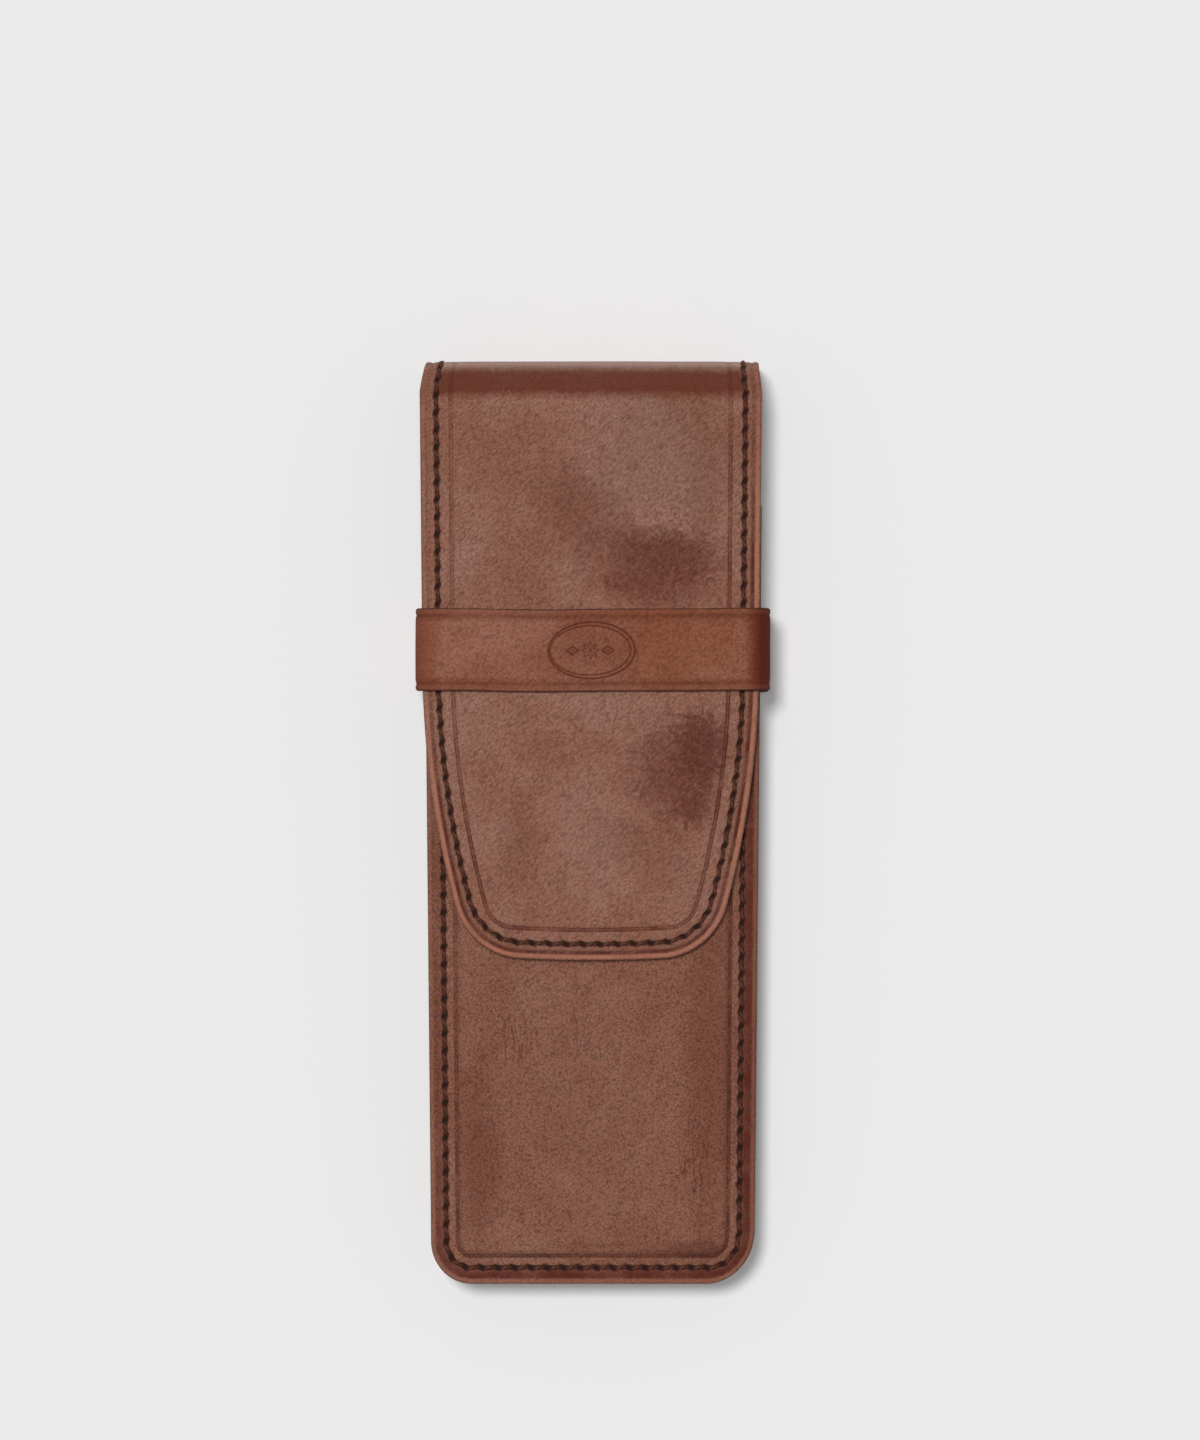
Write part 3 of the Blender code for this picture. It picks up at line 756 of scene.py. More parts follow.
# round the flap: the dark cut edge; a lighter bead, burnished and partly painted highlight; a dark red
# band inside it, pressed darker and partly painted shade in the groove; the thread's painted shadow; and
# the crease, darkened by its tool and by painted shade in its groove
flapLines = [
    cutLine,
    ("rim", [(0.2, 0), (0.45, 0.9), (0.85, 0.9), (1.0, 0)], "#a96b53"),
    ("rim", [(0.95, 0), (1.2, 0.95), (1.5, 0.9), (1.9, 0.2), (2.3, 0.25), (2.6, 0)], "#561d10"),
    threadShadowLine,
    ("crease", [(5.0, 0), (5.2, 1), (5.4, 0.5), (5.55, 0.5), (5.7, 1), (5.9, 0)], "#521d0f"),
]
# round the front, as round the flap: a fainter bead, partly painted highlight; a dark red band inside it,
# partly painted shade in the groove; the thread's painted shadow; and a crease whose painted shade runs on
# up the slope towards the raised middle
frontLines = [
    cutLine,
    ("rim", [(0.1, 0), (0.35, 0.4), (0.8, 0.4), (0.95, 0)], "#8f5743"),
    ("rim", [(0.8, 0), (1.15, 0.95), (2.2, 0.85), (2.5, 0.5), (3.2, 0.5), (3.6, 0)], "#5a2012"),
    threadShadowLine,
    (
        "crease",
        [(4.6, 0), (4.8, 1), (4.95, 0.6), (5.05, 0.6), (5.2, 1), (5.38, 0.25), (6.2, 0)],
        "#441508",
    ),
]
flapProfile = [
    (0.12, -2.12), (0.0, -1.95), (0.0, -0.98), (0.05, -0.76), (0.14, -0.60), (0.28, -0.49),
    (0.45, -0.43), (0.68, -0.41), (0.88, -0.45), (1.04, -0.54), (1.18, -0.64), (1.32, -0.68),
    (1.46, -0.65), (1.62, -0.56), (1.82, -0.47), (2.02, -0.41), (2.20, -0.39), (2.36, -0.41),
    (2.50, -0.45), (2.64, -0.51), (2.77, -0.56), (2.90, -0.58), (3.03, -0.56), (3.16, -0.51),
    (3.30, -0.44), (3.45, -0.38), (3.60, -0.34), (3.85, -0.31), (4.30, -0.29), (4.80, -0.28),
    (5.10, -0.30), (5.22, -0.38), (5.31, -0.44), (5.40, -0.38), (5.48, -0.35), (5.56, -0.38),
    (5.65, -0.43), (5.78, -0.33), (5.95, -0.24), (6.30, -0.19), (7.00, -0.15),
]
frontProfile = [
    (0.12, -2.12), (0.0, -1.95), (0.0, -1.38), (0.05, -1.18), (0.14, -1.05), (0.28, -0.96),
    (0.45, -0.92), (0.65, -0.92), (0.84, -0.98), (0.98, -1.08), (1.12, -1.14), (1.30, -1.13),
    (1.55, -1.04), (1.85, -0.93), (2.12, -0.86), (2.24, -0.86), (2.38, -0.90), (2.51, -0.95),
    (2.64, -1.01), (2.77, -1.05), (2.90, -1.06), (3.03, -1.03), (3.16, -0.95), (3.30, -0.85),
    (3.45, -0.76), (3.60, -0.69), (3.85, -0.64), (4.20, -0.61), (4.50, -0.61), (4.68, -0.66),
    (4.79, -0.74), (4.90, -0.69), (5.00, -0.66), (5.10, -0.69), (5.21, -0.74), (5.34, -0.64),
    (5.55, -0.50), (5.90, -0.34), (6.40, -0.22), (7.00, -0.15),
]
liningProfile = [
    (0.15, -2.10), (0.08, -2.20), (0.08, -2.68), (0.15, -2.82), (0.30, -2.90), (0.60, -2.91),
    (1.20, -2.90), (2.00, -2.90), (2.50, -2.88), (2.70, -2.84), (2.90, -2.80), (3.10, -2.84),
    (3.30, -2.88), (3.80, -2.90), (5.00, -2.90), (7.00, -2.90),
]

backLook = dict(
    panelLook,
    profile=flapProfile,
    lines=flapLines,
    seed=4,
    ceiling=0.0,
    marks=[
        ("dye", -12.0, 60.0, 12.0, 18.0, 20, 0.35, "#54291e"),
        ("dye", 14.0, 110.0, 8.0, 16.0, 0, 0.3, "#54291e"),
    ],
    bands=[("along", 157, 173, [(157, 0), (161, 0.3), (167, 0.3), (172, 0)], "#5e2a1c")],
)
flapLook = dict(
    panelLook,
    profile=flapProfile,
    lines=flapLines,
    seed=2,
    deep="#86543f",
    main="#8d5e4b",
    pale="#926654",
    lineFade=(0.8, 1, 200.0, 238.0, 0.1),
    bandFade=(2.7, 3.6, 0.2),
    marks=[
        ("dye", 14.0, 213.6, 9.5, 4.8, 5, 0.9, "#5f2c1d"),
        ("dye", 9.0, 214.8, 14.0, 7.0, 12, 0.55, "#6b3826"),
        ("dye", 11.5, 219.0, 9.5, 4.5, 0, 0.5, "#67352a"),
        ("dye", -1.0, 205.5, 11.0, 6.5, 35, 0.5, "#6f4232"),
        ("dye", 20.0, 205.0, 3.5, 12.0, 0, 0.4, "#734736"),
        # a paler, greyer patch: painted sheen
        ("dye", 13.0, 195.0, 14.0, 13.0, 0, 0.35, "#755444"),
        ("dye", 19.9, 248.0, 5.0, 7.0, 8, 0.98, "#5b291c"),
        ("dye", 15.5, 251.5, 9.0, 10.0, 25, 0.75, "#653324"),
        ("dye", 18.6, 258.5, 3.4, 3.8, 0, 0.75, "#613023"),
        ("dye", 6.0, 264.0, 6.0, 5.0, 0, 0.3, "#704737"),
        ("dye", 14.0, 266.0, 5.0, 7.5, 0, 0.3, "#744636"),
        ("dye", -13.5, 264.5, 4.0, 8.0, 10, 0.4, "#784b38"),
        ("net", 15.0, 250.5, 8.0, 9.0, 0, 0.22, "#9a6b5a"),
        ("net", 15.5, 214.0, 8.0, 6.0, 0, 0.18, "#9a6b5a"),
    ],
    bands=[
        # on the fold's top: a pale band high on its bend is a painted highlight, and the dark red-brown
        # band below it, just above the flap's face, is painted shade
        (
            "along", 170, 190,
            [(172.5, 0), (175.5, 0.2), (177.8, 0.84), (179.4, 0.75), (182, 0)],
            "#b8998c",
        ),
        ("along", 170, 190, [(179.6, 0), (182.2, 0.82), (185.4, 0.85), (187.3, 0)], "#612614"),
    ],
)
frontLook = dict(
    panelLook,
    profile=frontProfile,
    lines=frontLines,
    seed=3,
    grainTurn=38,
    grainStretch=1.2,
    grainSize=0.38,
    grainTone=0.56,
    tick=(0.95, 0.5, 1.0, 0.26, 0.5),
    # its lines are fainter towards the upper left and full towards the right and the foot, so their
    # painted shade is heaviest on the sides away from the light
    lineFade=(1, -0.35, -45.0, -22.0, 0.45),
    marks=[
        ("dye", 21.5, 40.0, 5.0, 34.0, 0, 0.6, "#6f3a26"),
        ("dye", 19.5, 6.0, 7.5, 1.8, 0, 0.5, "#58281a"),
        # a darker strip down the right border: painted shade on the side away from the light
        ("dye", 29.8, 62.0, 2.6, 85.0, 0, 0.55, "#5c2b1b"),
        ("dye", -21.0, 22.0, 4.5, 20.0, 0, 0.65, "#6f3a26"),
        ("dye", -2.0, 30.0, 9.0, 15.0, 30, 0.15, "#703e2b"),
        ("wrinkle", 19.0, 22.0, 4.0, 11.0, 0, 0.85, "#613020"),
        ("wrinkle", -14.0, 44.0, 4.5, 8.0, 0, 0.7, "#613020"),
        ("wrinkle", -2.5, 46.0, 5.0, 7.0, 0, 0.45, "#613020"),
    ],
)


def carry(piece, outline):
    # what crosses a bend keeps its place with its transform baked in; the rest is attached to its one body
    if outline["bend"]:
        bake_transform(piece)
    else:
        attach(piece, *outline["bodies"])


def makePanels(layer, ending, leather, looks):
    # the long leather and its lining also stand for their parts of the fold
    for side, outline in panels.items():
        look = looks[side]
        pitch = seamDistances(outline, look)[2]  # the holes use the pitch that fits this seam
        material = leatherMaterial(f"{leather}, {side}", dict(look, stitchPitch=pitch))
        piece = makePanel(f"{side}_{ending}", outline, look, material)
        nodes = [f"{side}_{layer}", f"fold_{layer}"] if outline["bend"] else [f"{side}_{layer}"]
        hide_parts(*nodes)
        carry(piece, outline)


outerLooks = {"back": backLook, "flap": flapLook, "front": frontLook}
makePanels("panel", "leather", "calf", outerLooks)
print("outer leathers made")

# Linings: split calf, smooth and dry, darker and duller than the outside
liningLook = dict(
    panelLook,
    profile=liningProfile,
    faceIn=True,
    wave=0.05,
    pillow=0.0,
    dimple=0.12,
    deep="#4f2c20",
    main="#5b3528",
    pale="#674032",
    flush="#5f3a2b",
    specular=0.3,
    grainSize=0.7,
    grainStretch=1.0,
    grainDepth=0.05,
    grainTone=0.08,
    roughLow=0.7,
    roughHigh=0.8,
    lines=[("cut", [(-1, 1), (-0.2, 1), (0.12, 0.75), (0.35, 0)], "#3b1d16")],
)
makePanels("lining", "lining_skin", "lining", dict.fromkeys(panels, liningLook))
print("linings made")


# Gusset: a channel of thinner calf between back and front, its flanges turned out to the seams
gussetLook = dict(
    panelLook,
    stitchPitch=0,
    deep="#47231a",
    main="#542c21",
    pale="#613628",
    flush="#5d3325",
    specular=0.3,
    lines=[("cut", [(-1, 1), (0.4, 1), (0.8, 0)], "#3b1d16")],
)
gussetShape = {
    "setback": 0.5,
    "web": 4.7,
    "leather": 1.2,
    "bevel": 0.15,
    "flange": 3.0,
    "innerRound": 0.9,
    "outerRound": 2.0,
    "drop": 1.5,
    "bow": 0.5,
    "ripple": 0.12,
    "rippleReach": 19,
    "seed": 5,
}


def roundTurn(centre, radius, startAngle, endAngle):
    turns = [math.radians(startAngle + (endAngle - startAngle) * step / 5) for step in range(6)]
    return [(centre[0] + radius * math.cos(t), centre[1] + radius * math.sin(t)) for t in turns]


def gussetSection():
    # (inset, height) round the channel's skin, from the low flange's edge
    shape = gussetShape
    low, high = caseShape["cavityFloor"], caseShape["cavityCeiling"]
    edge, web, thick, bevel = shape["setback"], shape["web"], shape["leather"], shape["bevel"]
    inner, outer = shape["innerRound"], shape["outerRound"]
    flange = web - inner - edge
    clear = high - low - 2 * (thick + inner)
    outside = high - low - 2 * outer
    back = web + thick
    section = [(edge + 0.1, low), (edge, low + bevel)]
    section += [(edge, low + thick - bevel), (edge + bevel, low + thick)]
    section += [(edge + share * flange, low + thick) for share in (0.3, 0.6, 0.85)]
    section += roundTurn((web - inner, low + thick + inner), inner, -90, 0)
    section += [(web, low + thick + inner + clear * step / 8) for step in range(1, 8)]
    section += roundTurn((web - inner, high - thick - inner), inner, 0, 90)
    section += [(edge + share * flange, high - thick) for share in (0.85, 0.6, 0.3)]
    section += [(edge + bevel, high - thick), (edge, high - thick + bevel)]
    section += [(edge, high - bevel), (edge + 0.1, high)]
    section += [(edge + 1.5, high), (back - outer - 0.2, high)]
    section += roundTurn((back - outer, high - outer), outer, 90, 0)
    section += [(back, low + outer + outside * step / 8) for step in range(7, 0, -1)]
    section += roundTurn((back - outer, low + outer), outer, 0, -90)
    section += [(back - outer - 0.2, low), (edge + 1.5, low)]
    return section


def makeGusset(material):
    shape = gussetShape
    outline = dict(panels["back"], top=mouthRun - shape["drop"], startsRight=False)
    low, high = caseShape["cavityFloor"], caseShape["cavityCeiling"]
    loops = []
    for inset, height in gussetSection():
        middle = math.sin(math.pi * (height - low) / (high - low))
        bow = shape["bow"] * middle**2 if inset > shape["flange"] else 0
        line = wholeLine(outline, inset + bow)[0]
        across, along = line.T
        size = shape["ripple"] * middle
        ripple = unevenness(along * 2, across * 2, size, shape["rippleReach"], shape["seed"])
        loop = levelPlace(across + ripple * np.sign(across), along, height)
        run = np.arange(len(line)) * caseShape["meshStep"]
        hide = np.stack([run, run * 0 + height + inset, run * 0], axis=-1)
        edge = np.stack([run, run * 0 + inset, run * 0], axis=-1)
        loops.append(np.stack([loop, hide, edge]))
    return makeTube("gusset_skin", np.stack(loops, axis=2).swapaxes(0, 1), material)


gusset = makeGusset(leatherMaterial("calf, gusset", gussetLook))
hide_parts("gusset")
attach(gusset, "case")

# Divider: two layers of lining leather glued back to back, with one foot glued to the back
dividerLook = dict(liningLook, stitchPitch=0, lines=[])
dividerShape = {
    "leather": 1.2,
    "foot": 9.0,
    "fillet": 0.9,
    "start": -70.1,
    "end": 47.0,
    "corner": 6.0,
    "gap": 0.3,
    "lean": 0.25,
    "leanReach": 23.0,
}


def makeDivider(material):
    shape = dividerShape
    half = shape["leather"] / 2
    low = caseShape["cavityFloor"]
    high = caseShape["cavityCeiling"] - shape["gap"]
    footTop = low + shape["leather"]
    foot = shape["foot"] - half
    fillet = shape["fillet"]
    rows = []
    for y in np.arange(shape["start"], shape["end"] + 0.01, 1.0):
        fromEnd = min(y - shape["start"], shape["end"] - y, shape["corner"])
        miss = shape["corner"] - fromEnd
        top = high - (shape["corner"] - math.sqrt(max(shape["corner"] ** 2 - miss**2, 0)))
        section = [(-half, low + 0.1), (-half + 0.1, low), (foot - 0.1, low), (foot, low + 0.15)]
        section += [(foot, footTop - 0.25), (foot - 0.25, footTop), (half + 1.4, footTop)]
        section += roundTurn((half + fillet, footTop + fillet), fillet, -90, -180)
        section += [(half, low + 3 + (top - low - 3.5) * step / 6) for step in range(7)]
        section += roundTurn((0, top - half), half, 0, 180)
        section += [(-half, top - 0.5 - (top - low - 1.5) * step / 8) for step in range(1, 9)]
        lean = shape["lean"] * math.sin(y / shape["leanReach"])
        loop = [(x + lean * (z - low) / 10, y, z) for x, z in section]
        hide = [(0.4 * number, y, 0) for number in range(len(section))]
        rows.append((loop, hide, [(y, dividerLook["middleInset"], 0)] * len(section)))
    return makeTube("pen_divider_skin", rows, material)


divider = makeDivider(leatherMaterial("lining, divider", dividerLook))
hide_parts("pen_divider")
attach(divider, "case")
print("gusset and divider made")


# Keeper: one strap of firmer calf, edges rolled and creased, wrapped round both sides
keeperLook = dict(
    panelLook,
    stitchPitch=0,
    specular=0.38,
    deep="#834831",
    main="#8a523b",
    pale="#915b48",
    flush="#8d5544",
    stampDark="#5a2517",
    pressTone=1.1,
    wave=0.06,
    waveReach=17,
    seed=7,
    grainSize=0.46,
    grainTurn=35,
    grainStretch=1.4,
    grainTone=0.36,
    grainDepth=0.16,
    roughLow=0.90,
    roughHigh=0.78,
    bandSway=0.25,
    bandDull=0.35,
    marks=[
        ("dye", 14.0, 0.0, 12.0, 9.0, 10, 0.35, "#82482f"),
        ("dye", 0.0, 0.0, 9.5, 6.5, 0, 0.35, "#744437"),
    ],
    bands=[
        # the strap's ends darken over their bends and the sides below them, the right one much more:
        # painted shade, heaviest on the right, away from the light
        ("across", -60, -26, [(-60, 0.3), (-36, 0.3), (-31, 0.7), (-29.4, 0.68), (-26.4, 0)], "#743a20"),
        ("across", 26, 60, [(26.9, 0), (29.3, 0.95), (31, 0.95), (36, 0.35), (60, 0.35)], "#530f04"),
    ],
    # along each edge: the dark cut edge, a darker rolled bead, and a dark band in the crease below it,
    # darkened by its tool and partly painted shade in that crease
    lines=[
        ("cut", [(-1, 1), (0.0, 1), (0.15, 0.6), (0.35, 0)], "#401b12"),
        ("cut", [(0.25, 0), (0.5, 0.5), (0.9, 0.5), (1.05, 0)], "#74402c"),
        ("cut", [(0.85, 0), (1.2, 0.6), (1.45, 0.55), (1.8, 0.3), (2.5, 0)], "#56220f"),
    ],
)
keeperShape = {
    "width": 14.6,
    "drop": 44.2,
    "leather": 1.3,
    "bendRadius": 3.0,
    "footRadius": 0.4,
    "tab": 4.0,
    "skive": 4.0,
    "lining": 0.5,
    "fitGap": 0.3,
    "faceLevel": 1.0,  # what is higher is on the face
    "edgeReach": 2.1,
    "edge": [
        (0.0, 0.45), (0.0, 0.85), (0.06, 1.05), (0.18, 1.19), (0.38, 1.27), (0.60, 1.29),
        (0.85, 1.27), (1.00, 1.22), (1.14, 1.15), (1.28, 1.14), (1.42, 1.18), (1.60, 1.24),
        (1.85, 1.28), (2.10, 1.30),
    ],
    "fineStep": 0.12,  # between the mesh's points across the strap, and along it by the stamp
    "stampReach": 8.5,
    "bendStep": 0.25,
    "bendReach": 3.0,
    "plainStep": 0.6,
    "wander": [(0.10, 9.5, 0), (0.05, 4.1, 1)],  # the strap's edges aren't quite straight
    "ovals": [(-0.21, -0.05, 7.65, 4.98, 0.14), (-0.44, -0.05, 7.12, 4.36, 0.11)],
    "ovalDepth": 0.20,
    "toolDepth": 0.17,
    "toolLine": 0.15,
    "pressScale": 5,  # makes the tools' depth plain to the material
    "flower": {"radius": 1.45, "petals": 8, "petalDepth": 0.22, "dot": 0.3},
    "lozenge": {"from": 3.15, "wide": 1.05, "high": 0.7, "slope": 0.55, "dot": 0.2},
}


def keeperRuns():
    # (length, turning) from the left tab over the flap to the right one
    shape = keeperShape
    bendRadius = shape["bendRadius"] - shape["leather"]
    rise = caseShape["flapTop"] + shape["fitGap"] - bendRadius
    rise = rise - caseShape["cavityFloor"] - shape["footRadius"]
    half = halfWidth * widthShare(topY - shape["drop"]) + shape["fitGap"]
    runs = [
        (shape["tab"], 0),
        (math.pi / 2 * shape["footRadius"], -1),
        (rise, 0),
        (math.pi / 2 * bendRadius, -1),
        (2 * (half - bendRadius), 0),
    ]
    return runs + runs[-2::-1], half, bendRadius


def keeperWalk(distance):
    # the strap's inner side at a distance from its left end, and the way out of its face
    runs, half = keeperRuns()[:2]
    place = Vector((keeperShape["footRadius"] + keeperShape["tab"] - half, caseShape["cavityFloor"]))
    angle = math.pi
    left = distance
    for number, (length, turning) in enumerate(runs):
        step = left if number == len(runs) - 1 else min(left, length)
        ahead = Vector((math.cos(angle), math.sin(angle)))
        outside = Vector((-ahead.y, ahead.x))
        if turning:
            radius = length / (math.pi / 2)
            centre = place - outside * radius
            angle -= math.pi / 2 * step / length
            outside = Vector((-math.sin(angle), math.cos(angle)))
            place = centre + outside * radius
        else:
            place = place + ahead * step
        left -= step
        if left <= 0:
            break
    return place, outside


def keeperSection():
    # (across from the middle, height) round the strap's skin: top face, edge, underside, edge
    shape = keeperShape
    width = shape["width"]
    flat = width - 2 * shape["edgeReach"]
    count = round(flat / shape["fineStep"])
    top = list(shape["edge"])
    top += [(shape["edgeReach"] + flat * step / count, shape["leather"]) for step in range(1, count)]
    top += [(width - inset, height) for inset, height in reversed(shape["edge"])]
    under = [(width - 0.1, 0.1), (width - 0.3, 0.0)]
    under += [(width * share, 0.0) for share in (0.9, 0.75, 0.5, 0.25, 0.1)]
    under += [(0.3, 0.0), (0.1, 0.1)]
    return np.array([(inset - width / 2, height) for inset, height in top + under])


def lineMark(gap, line):
    return np.exp(-((gap / line) ** 2))


def stampDepth(lengthwise, crosswise):
    # how far the tools have pressed: two ovals, a flower and a lozenge on either side of it
    shape = keeperShape
    total = 0 * crosswise
    for x, y, wide, high, line in shape["ovals"]:
        along, over = lengthwise - x, crosswise - y
        reach = np.sqrt((along / wide) ** 2 + (over / high) ** 2)
        slope = np.sqrt((along / wide**2) ** 2 + (over / high**2) ** 2) / np.maximum(reach, 1e-6)
        gap = (reach - 1) / np.maximum(slope, 1e-6)
        total = np.maximum(total, shape["ovalDepth"] * lineMark(gap, line))
    # the flower and the lozenges are centred in the inner oval
    flower, lozenge, line = shape["flower"], shape["lozenge"], shape["toolLine"]
    reach = np.hypot(along, over)
    petal = 1 - flower["petalDepth"] + flower["petalDepth"] * np.cos(
        flower["petals"] * np.arctan2(over, along)
    )
    marks = lineMark(reach - flower["radius"] * petal, line) + lineMark(reach, flower["dot"])
    beside = np.abs(along) - lozenge["from"]
    gap = np.abs(beside) / lozenge["wide"] + np.abs(over) / lozenge["high"] - 1
    marks = marks + lineMark(gap * lozenge["slope"], line)
    marks = marks + lineMark(np.hypot(beside, over), lozenge["dot"])
    return np.maximum(total, shape["toolDepth"] * np.minimum(marks, 1))


def keeperStops(total, half, bendRadius):
    # closer together across the stamp and round the bends
    shape = keeperShape
    stops = [0]
    while stops[-1] < total:
        fromMiddle = abs(stops[-1] - total / 2)
        toBend = abs(fromMiddle - (half - bendRadius) - 1.0)
        step = shape["bendStep"] if toBend < shape["bendReach"] else shape["plainStep"]
        if fromMiddle < shape["stampReach"]:
            step = shape["fineStep"]
        stops.append(min(stops[-1] + step, total))
    return stops


def makeKeeper(material):
    shape = keeperShape
    runs, half, bendRadius = keeperRuns()
    total = sum(length for length, turning in runs)
    crosswise, level = keeperSection().T
    middleY = topY - shape["drop"] - shape["width"] / 2
    skiveRun = math.pi / 2 * shape["footRadius"] + shape["skive"]
    pared = shape["lining"] / shape["leather"]
    onTop = level > shape["faceLevel"]
    inset = np.where(onTop, shape["width"] / 2 - np.abs(crosswise), -0.5)
    none = 0 * crosswise
    rows = []
    for stop in keeperStops(total, half, bendRadius):
        spot, outside = keeperWalk(stop)
        fromEnd = min(stop, total - stop)
        share = min(max((fromEnd - shape["tab"]) / skiveRun, 0), 1)
        pressed = stampDepth(stop - total / 2, crosswise) * onTop
        height = level * (pared + (1 - pared) * share) - pressed
        height = height + onTop * panelWave(np.stack([crosswise, none + stop], axis=-1), keeperLook)
        wander = sum(size * math.sin(stop / reach + start) for size, reach, start in shape["wander"])
        x = spot.x + outside.x * height
        z = spot.y + outside.y * height
        loop = (x, middleY + crosswise + wander, z)
        hide = (none + stop - total / 2, crosswise, none)
        edge = (none + stop, inset, pressed * shape["pressScale"])
        rows.append([np.stack(values, axis=-1) for values in (loop, hide, edge)])
    return makeTube("keeper_strap_skin", rows, material)


keeper = makeKeeper(leatherMaterial("calf, keeper strap", keeperLook))
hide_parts("keeper_strap")
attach(keeper, "case")
print("keeper strap made")


# Stitching: waxed linen thread, two plies, saddle-stitched through slanted holes. The plies' crowns
# are paler and the gap between them darker, a painted highlight and painted shade over the plies'
# relief, and the fibres keep the sheen soft.
threadLook = {
    "radius": 0.34,
    "endThinning": 0.28,
    "lobes": 0.14,
    "twist": 1.6,
    "slantAhead": 0.40,
    "slantAside": 0.22,
    "rise": 0.14,
    "sink": 0.46,
    "archFullness": 0.55,
    "stations": 11,
    "sides": 10,
    "deep": "#371709",
    "main": "#4a2315",
    "crownHighlight": "#5f3626",
    "fibreGap": 1 / 3,
    "specular": 0.25,
}


def threadMaterial(name, look):
    material, tree, shader = startSkin(name, look)
    addNode(tree, "ply", "SeparateXYZ", ["edge.Vector"])
    # linen fibres, wider apart than real ones so that they show
    size = perMetre / look["fibreGap"]
    fibre = {"Vector": "hide.Vector", "Scale": size, "Detail": 4, "Roughness": 0.6}
    addNode(tree, "fibre", "TexNoise", fibre)
    addNode(tree, "fuzz", "Math MULTIPLY", ["fibre", 0.6])
    # paler over the plies' crowns and darker in the gap between them: painted highlight and painted shade
    addNode(tree, "level", "Math MULTIPLY_ADD", ["ply.X", 700.0, "fuzz"])
    colour = addNode(tree, "colour", "ValToRGB", ["level"])
    setRamp(colour, [(0.15, look["deep"]), (0.55, look["main"]), (0.95, look["crownHighlight"])])
    linkTo(tree, "colour", shader["Base Color"])
    addNode(tree, "rough", "MapRange", ["fibre", None, None, 0.5, 0.75])
    linkTo(tree, "rough", shader["Roughness"])
    addNode(tree, "relief", "Bump", {"Strength": 0.6, "Distance": 0.05 * toMetres, "Height": "fibre"})
    linkTo(tree, "relief", shader["Normal"])
    return material


def makeStitches(name, side, level, facing, pastCut, start, material):
    # one short twisted length per stitch, from the outer end of a hole to the inner end of the next
    shape = threadLook
    outline = panels[side]
    line, distance, pitch, count = seamDistances(outline, panelLook)
    if not outline["closed"]:
        ahead = np.sign(line[1, 1] - line[0, 1]) * 2 * pitch
        line = np.concatenate([line[:1] - (0, ahead), line, line[-1:] - (0, ahead)])
        distance = np.concatenate([[-2 * pitch], distance, [distance[-1] + 2 * pitch]])
        count = count + 1 if pastCut else count - 1
    holes = (np.arange(count) + (-0.5 if pastCut else 0.5)) * pitch
    share = np.linspace(0, 1, shape["stations"])[None, :]
    slant = shape["slantAhead"]
    run = holes[:, None] + slant + share * (pitch - 2 * slant)
    if outline["closed"]:
        run = run % distance[-1]
    tangent = np.gradient(line, axis=0)
    tangent /= np.linalg.norm(tangent, axis=1)[:, None]
    inward = np.stack([-tangent[:, 1], tangent[:, 0]], axis=-1) * outline["inward"]
    aside = shape["slantAside"] * (2 * share - 1)
    across, along = (
        np.interp(run, distance, line[:, axis]) + aside * np.interp(run, distance, inward[:, axis])
        for axis in (0, 1)
    )
    kept = along.mean(axis=1) > start
    across, along = across[kept], along[kept]
    arch = np.sin(math.pi * share) ** shape["archFullness"]
    out = level + facing * (shape["rise"] * arch - shape["sink"] * (1 - arch)) + 0 * across

    # a twisted section with two lobes is swept along each length
    centre = outline["place"](across, along, out)
    above = outline["place"](across, along, out + 0.1 * facing) - centre
    above /= np.linalg.norm(above, axis=-1)[..., None]
    ahead = np.gradient(centre, axis=1)
    ahead /= np.linalg.norm(ahead, axis=-1)[..., None]
    sideways = np.cross(ahead, above)
    above = np.cross(sideways, ahead)
    sides = shape["sides"]
    angles = np.arange(sides) / sides * 2 * math.pi
    twist = share[0][:, None] * shape["twist"] * math.pi
    lobe = np.cos(2 * (angles[None, :] - twist))
    radius = shape["radius"] * (1 + shape["lobes"] * lobe)
    full = 1 - shape["endThinning"]
    radius = radius * (full + shape["endThinning"] * np.sin(math.pi * share[0]) ** 0.5)[:, None]
    tube = centre[:, :, None] + sideways[:, :, None] * (radius * np.cos(angles))[None, :, :, None]
    tube = tube + above[:, :, None] * (radius * np.sin(angles))[None, :, :, None]
    faces = []
    for stitch in np.arange(tube[..., 0].size).reshape(tube.shape[:3]):
        faces += gridFaces(np.concatenate([stitch, stitch[:, :1]], axis=1))
        faces.append(stitch[0].tolist())
        faces.append(stitch[-1, ::-1].tolist())
    skin = np.broadcast_arrays(across[:, :, None], along[:, :, None], radius[None] * np.cos(angles))
    ply = np.broadcast_to((lobe * 0.5 + 0.5)[None], tube.shape[:3])
    edge = np.stack([ply, 0 * ply, 0 * ply], axis=-1)
    piece = makeMesh(name, tube, faces, np.stack(skin, axis=-1), edge, material)
    turnFacesOut(piece)
    carry(piece, outline)


# Each row's panel, its depth below the face, the side that it shows on, whether it runs on past the
# cut, and how far from the foot it starts
stitchRows = {
    "back_stitching": ("back", -0.58, 1, False, 0),
    "flap_stitching": ("flap", -0.58, 1, True, 0),
    "front_stitching": ("front", -1.06, 1, False, 0),
    "flap_inner_stitching": ("flap", -2.80, -1, True, 0),
    "back_inner_stitching": ("back", -2.80, -1, False, mouthRun),
}
thread = threadMaterial("waxed linen thread", threadLook)
for name, row in stitchRows.items():
    makeStitches(name, *row, thread)
print("stitching made")


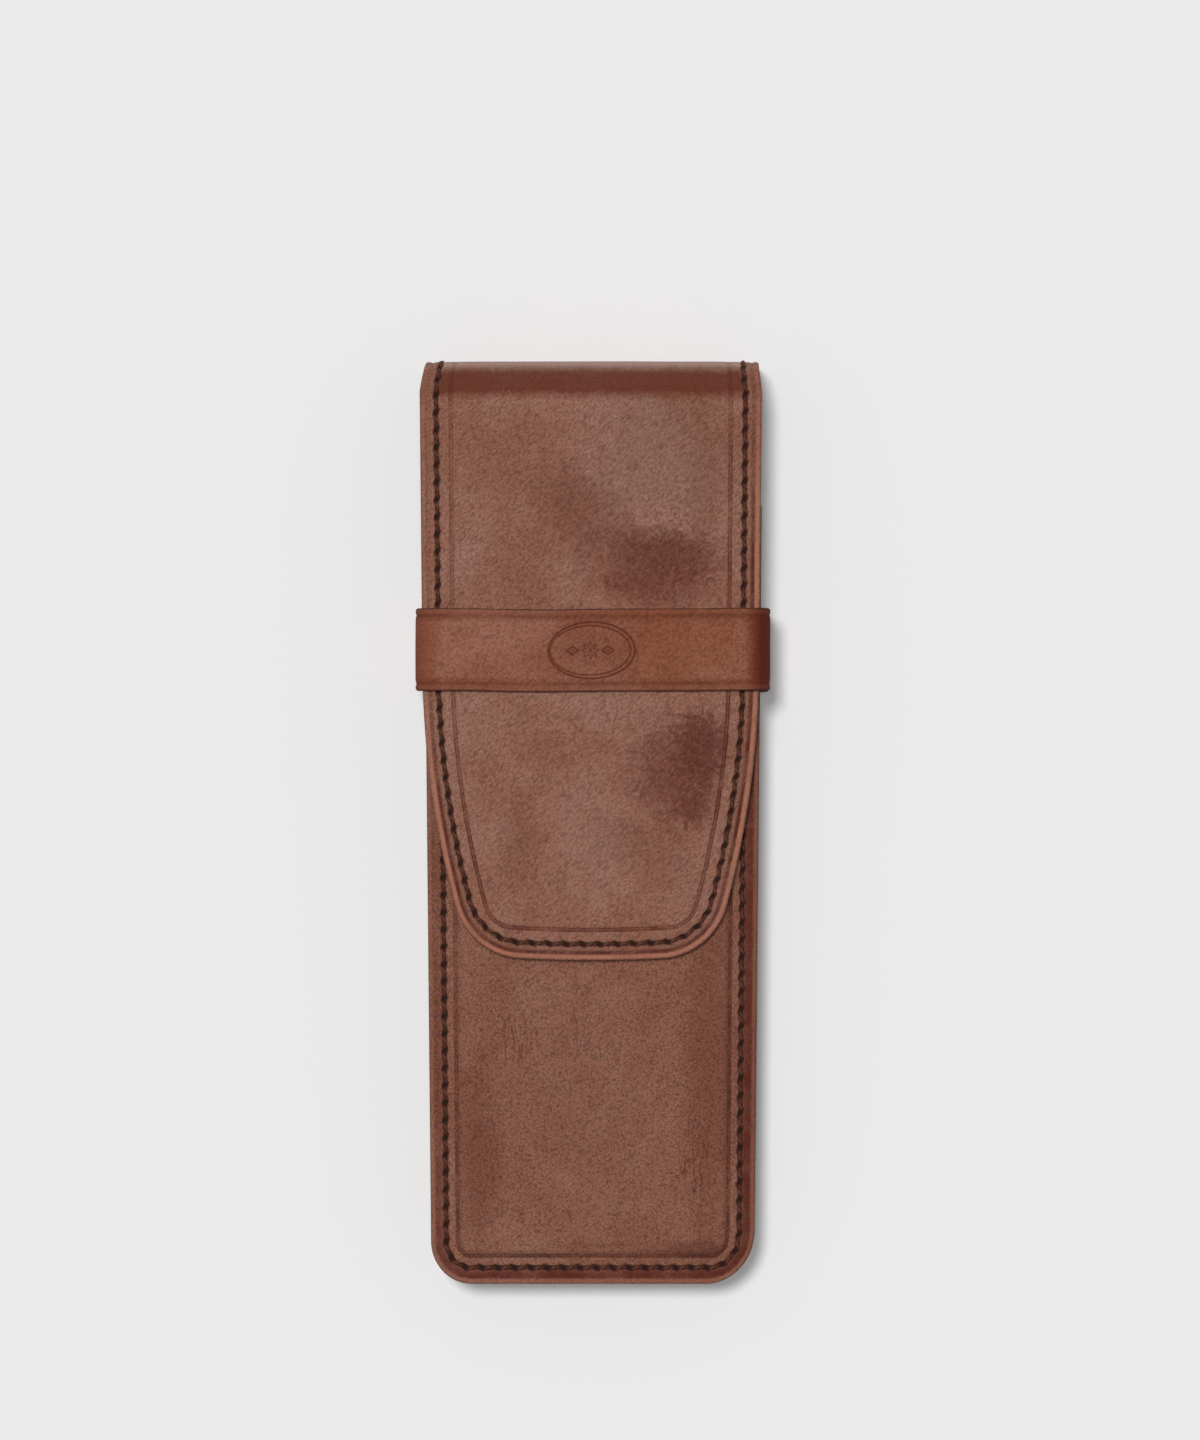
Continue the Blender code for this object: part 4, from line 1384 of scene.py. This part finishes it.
# Stiffeners: pressed grey board of waste paper, matt, with flecks of pulp about 1 mm across
boardLook = {"deep": "#8a7b62", "pale": "#a3947a", "fleckSize": 1.11, "roughness": 0.9}


def boardMaterial(name, look):
    material, tree, shader = startMaterial(name, {"Roughness": look["roughness"]})
    addNode(tree, "place", "TexCoord")
    flecks = {"Vector": "place.Object", "Scale": perMetre / look["fleckSize"], "Detail": 5}
    addNode(tree, "pulp", "TexNoise", flecks)
    colour = addNode(tree, "colour", "ValToRGB", ["pulp"])
    setRamp(colour, [(0.35, look["deep"]), (0.65, look["pale"])])
    linkTo(tree, "colour", shader["Base Color"])
    return material


board = boardMaterial("grey board", boardLook)
for name in ("back_stiffener", "front_stiffener", "flap_stiffener"):
    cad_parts[name].data.materials.clear()
    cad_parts[name].data.materials.append(board)

# Stage, light and camera: unglazed pale paper without sheen, under a soft key and a weak fill
stageLook = {"paper": "#ebebeb", "size": 3.0, "ambient": 0.16}


def makeFloor():
    half = stageLook["size"] / 2
    corners = [(-half, -half, 0), (half, -half, 0), (half, half, 0), (-half, half, 0)]
    mesh = bpy.data.meshes.new("paper floor")
    mesh.from_pydata(corners, [], [(0, 1, 2, 3)])
    floor = bpy.data.objects.new("paper_floor", mesh)
    bpy.context.scene.collection.objects.link(floor)
    paper = {"Base Color": linearColour(stageLook["paper"]), "Roughness": 0.9, "Specular IOR Level": 0.0}
    mesh.materials.append(startMaterial("matt background paper", paper)[0])


makeFloor()

world = bpy.data.worlds.new("studio")
bpy.context.scene.world = world
world.use_nodes = True
worldTree = world.node_tree
ambient = worldTree.nodes["Background"]
ambient.inputs["Color"].default_value = (1, 1, 1, 1)
ambient.inputs["Strength"].default_value = stageLook["ambient"]
seen = {"Color": linearColour(stageLook["paper"]), "Strength": 1.0}
addNode(worldTree, "seen", "Background", seen)
addNode(worldTree, "path", "LightPath")
addNode(worldTree, "choice", "MixShader", ["path.Is Camera Ray", "Background", "seen"])
linkTo(worldTree, "choice", worldTree.nodes["World Output"].inputs["Surface"])

lamps = {
    "key softbox": {"from": (-0.122, 0.165, 1.0), "level": 0.62, "spread": 10},
    "overhead lamp": {"from": (0.0, 0.0, 1.0), "level": 0.22, "spread": 6},
}
for name, lamp in lamps.items():
    light = bpy.data.lights.new(name, "SUN")
    direction = Vector(lamp["from"]).normalized()
    light.energy = lamp["level"] * math.pi / direction.z
    light.angle = math.radians(lamp["spread"])
    holder = bpy.data.objects.new(name, light)
    holder.rotation_mode = "QUATERNION"
    holder.rotation_quaternion = direction.to_track_quat("Z", "Y")
    bpy.context.scene.collection.objects.link(holder)

cameraLook = {"lens": 200.0, "sensor": 36.0, "frameHeight": 255.4, "centre": (1.27, 18.1)}
camera = bpy.data.cameras.new("photo camera")
camera.lens = cameraLook["lens"]
camera.sensor_width = cameraLook["sensor"]
camera.clip_start = 0.1
camera.clip_end = 20
viewer = bpy.data.objects.new("photo camera", camera)
reach = cameraLook["lens"] / cameraLook["sensor"] * cameraLook["frameHeight"]
viewer.location = Vector((*cameraLook["centre"], reach + caseShape["frontTop"])) * toMetres
bpy.context.scene.collection.objects.link(viewer)
bpy.context.scene.camera = viewer
bpy.context.scene.view_settings.view_transform = "Standard"
print("stage, light and camera set")
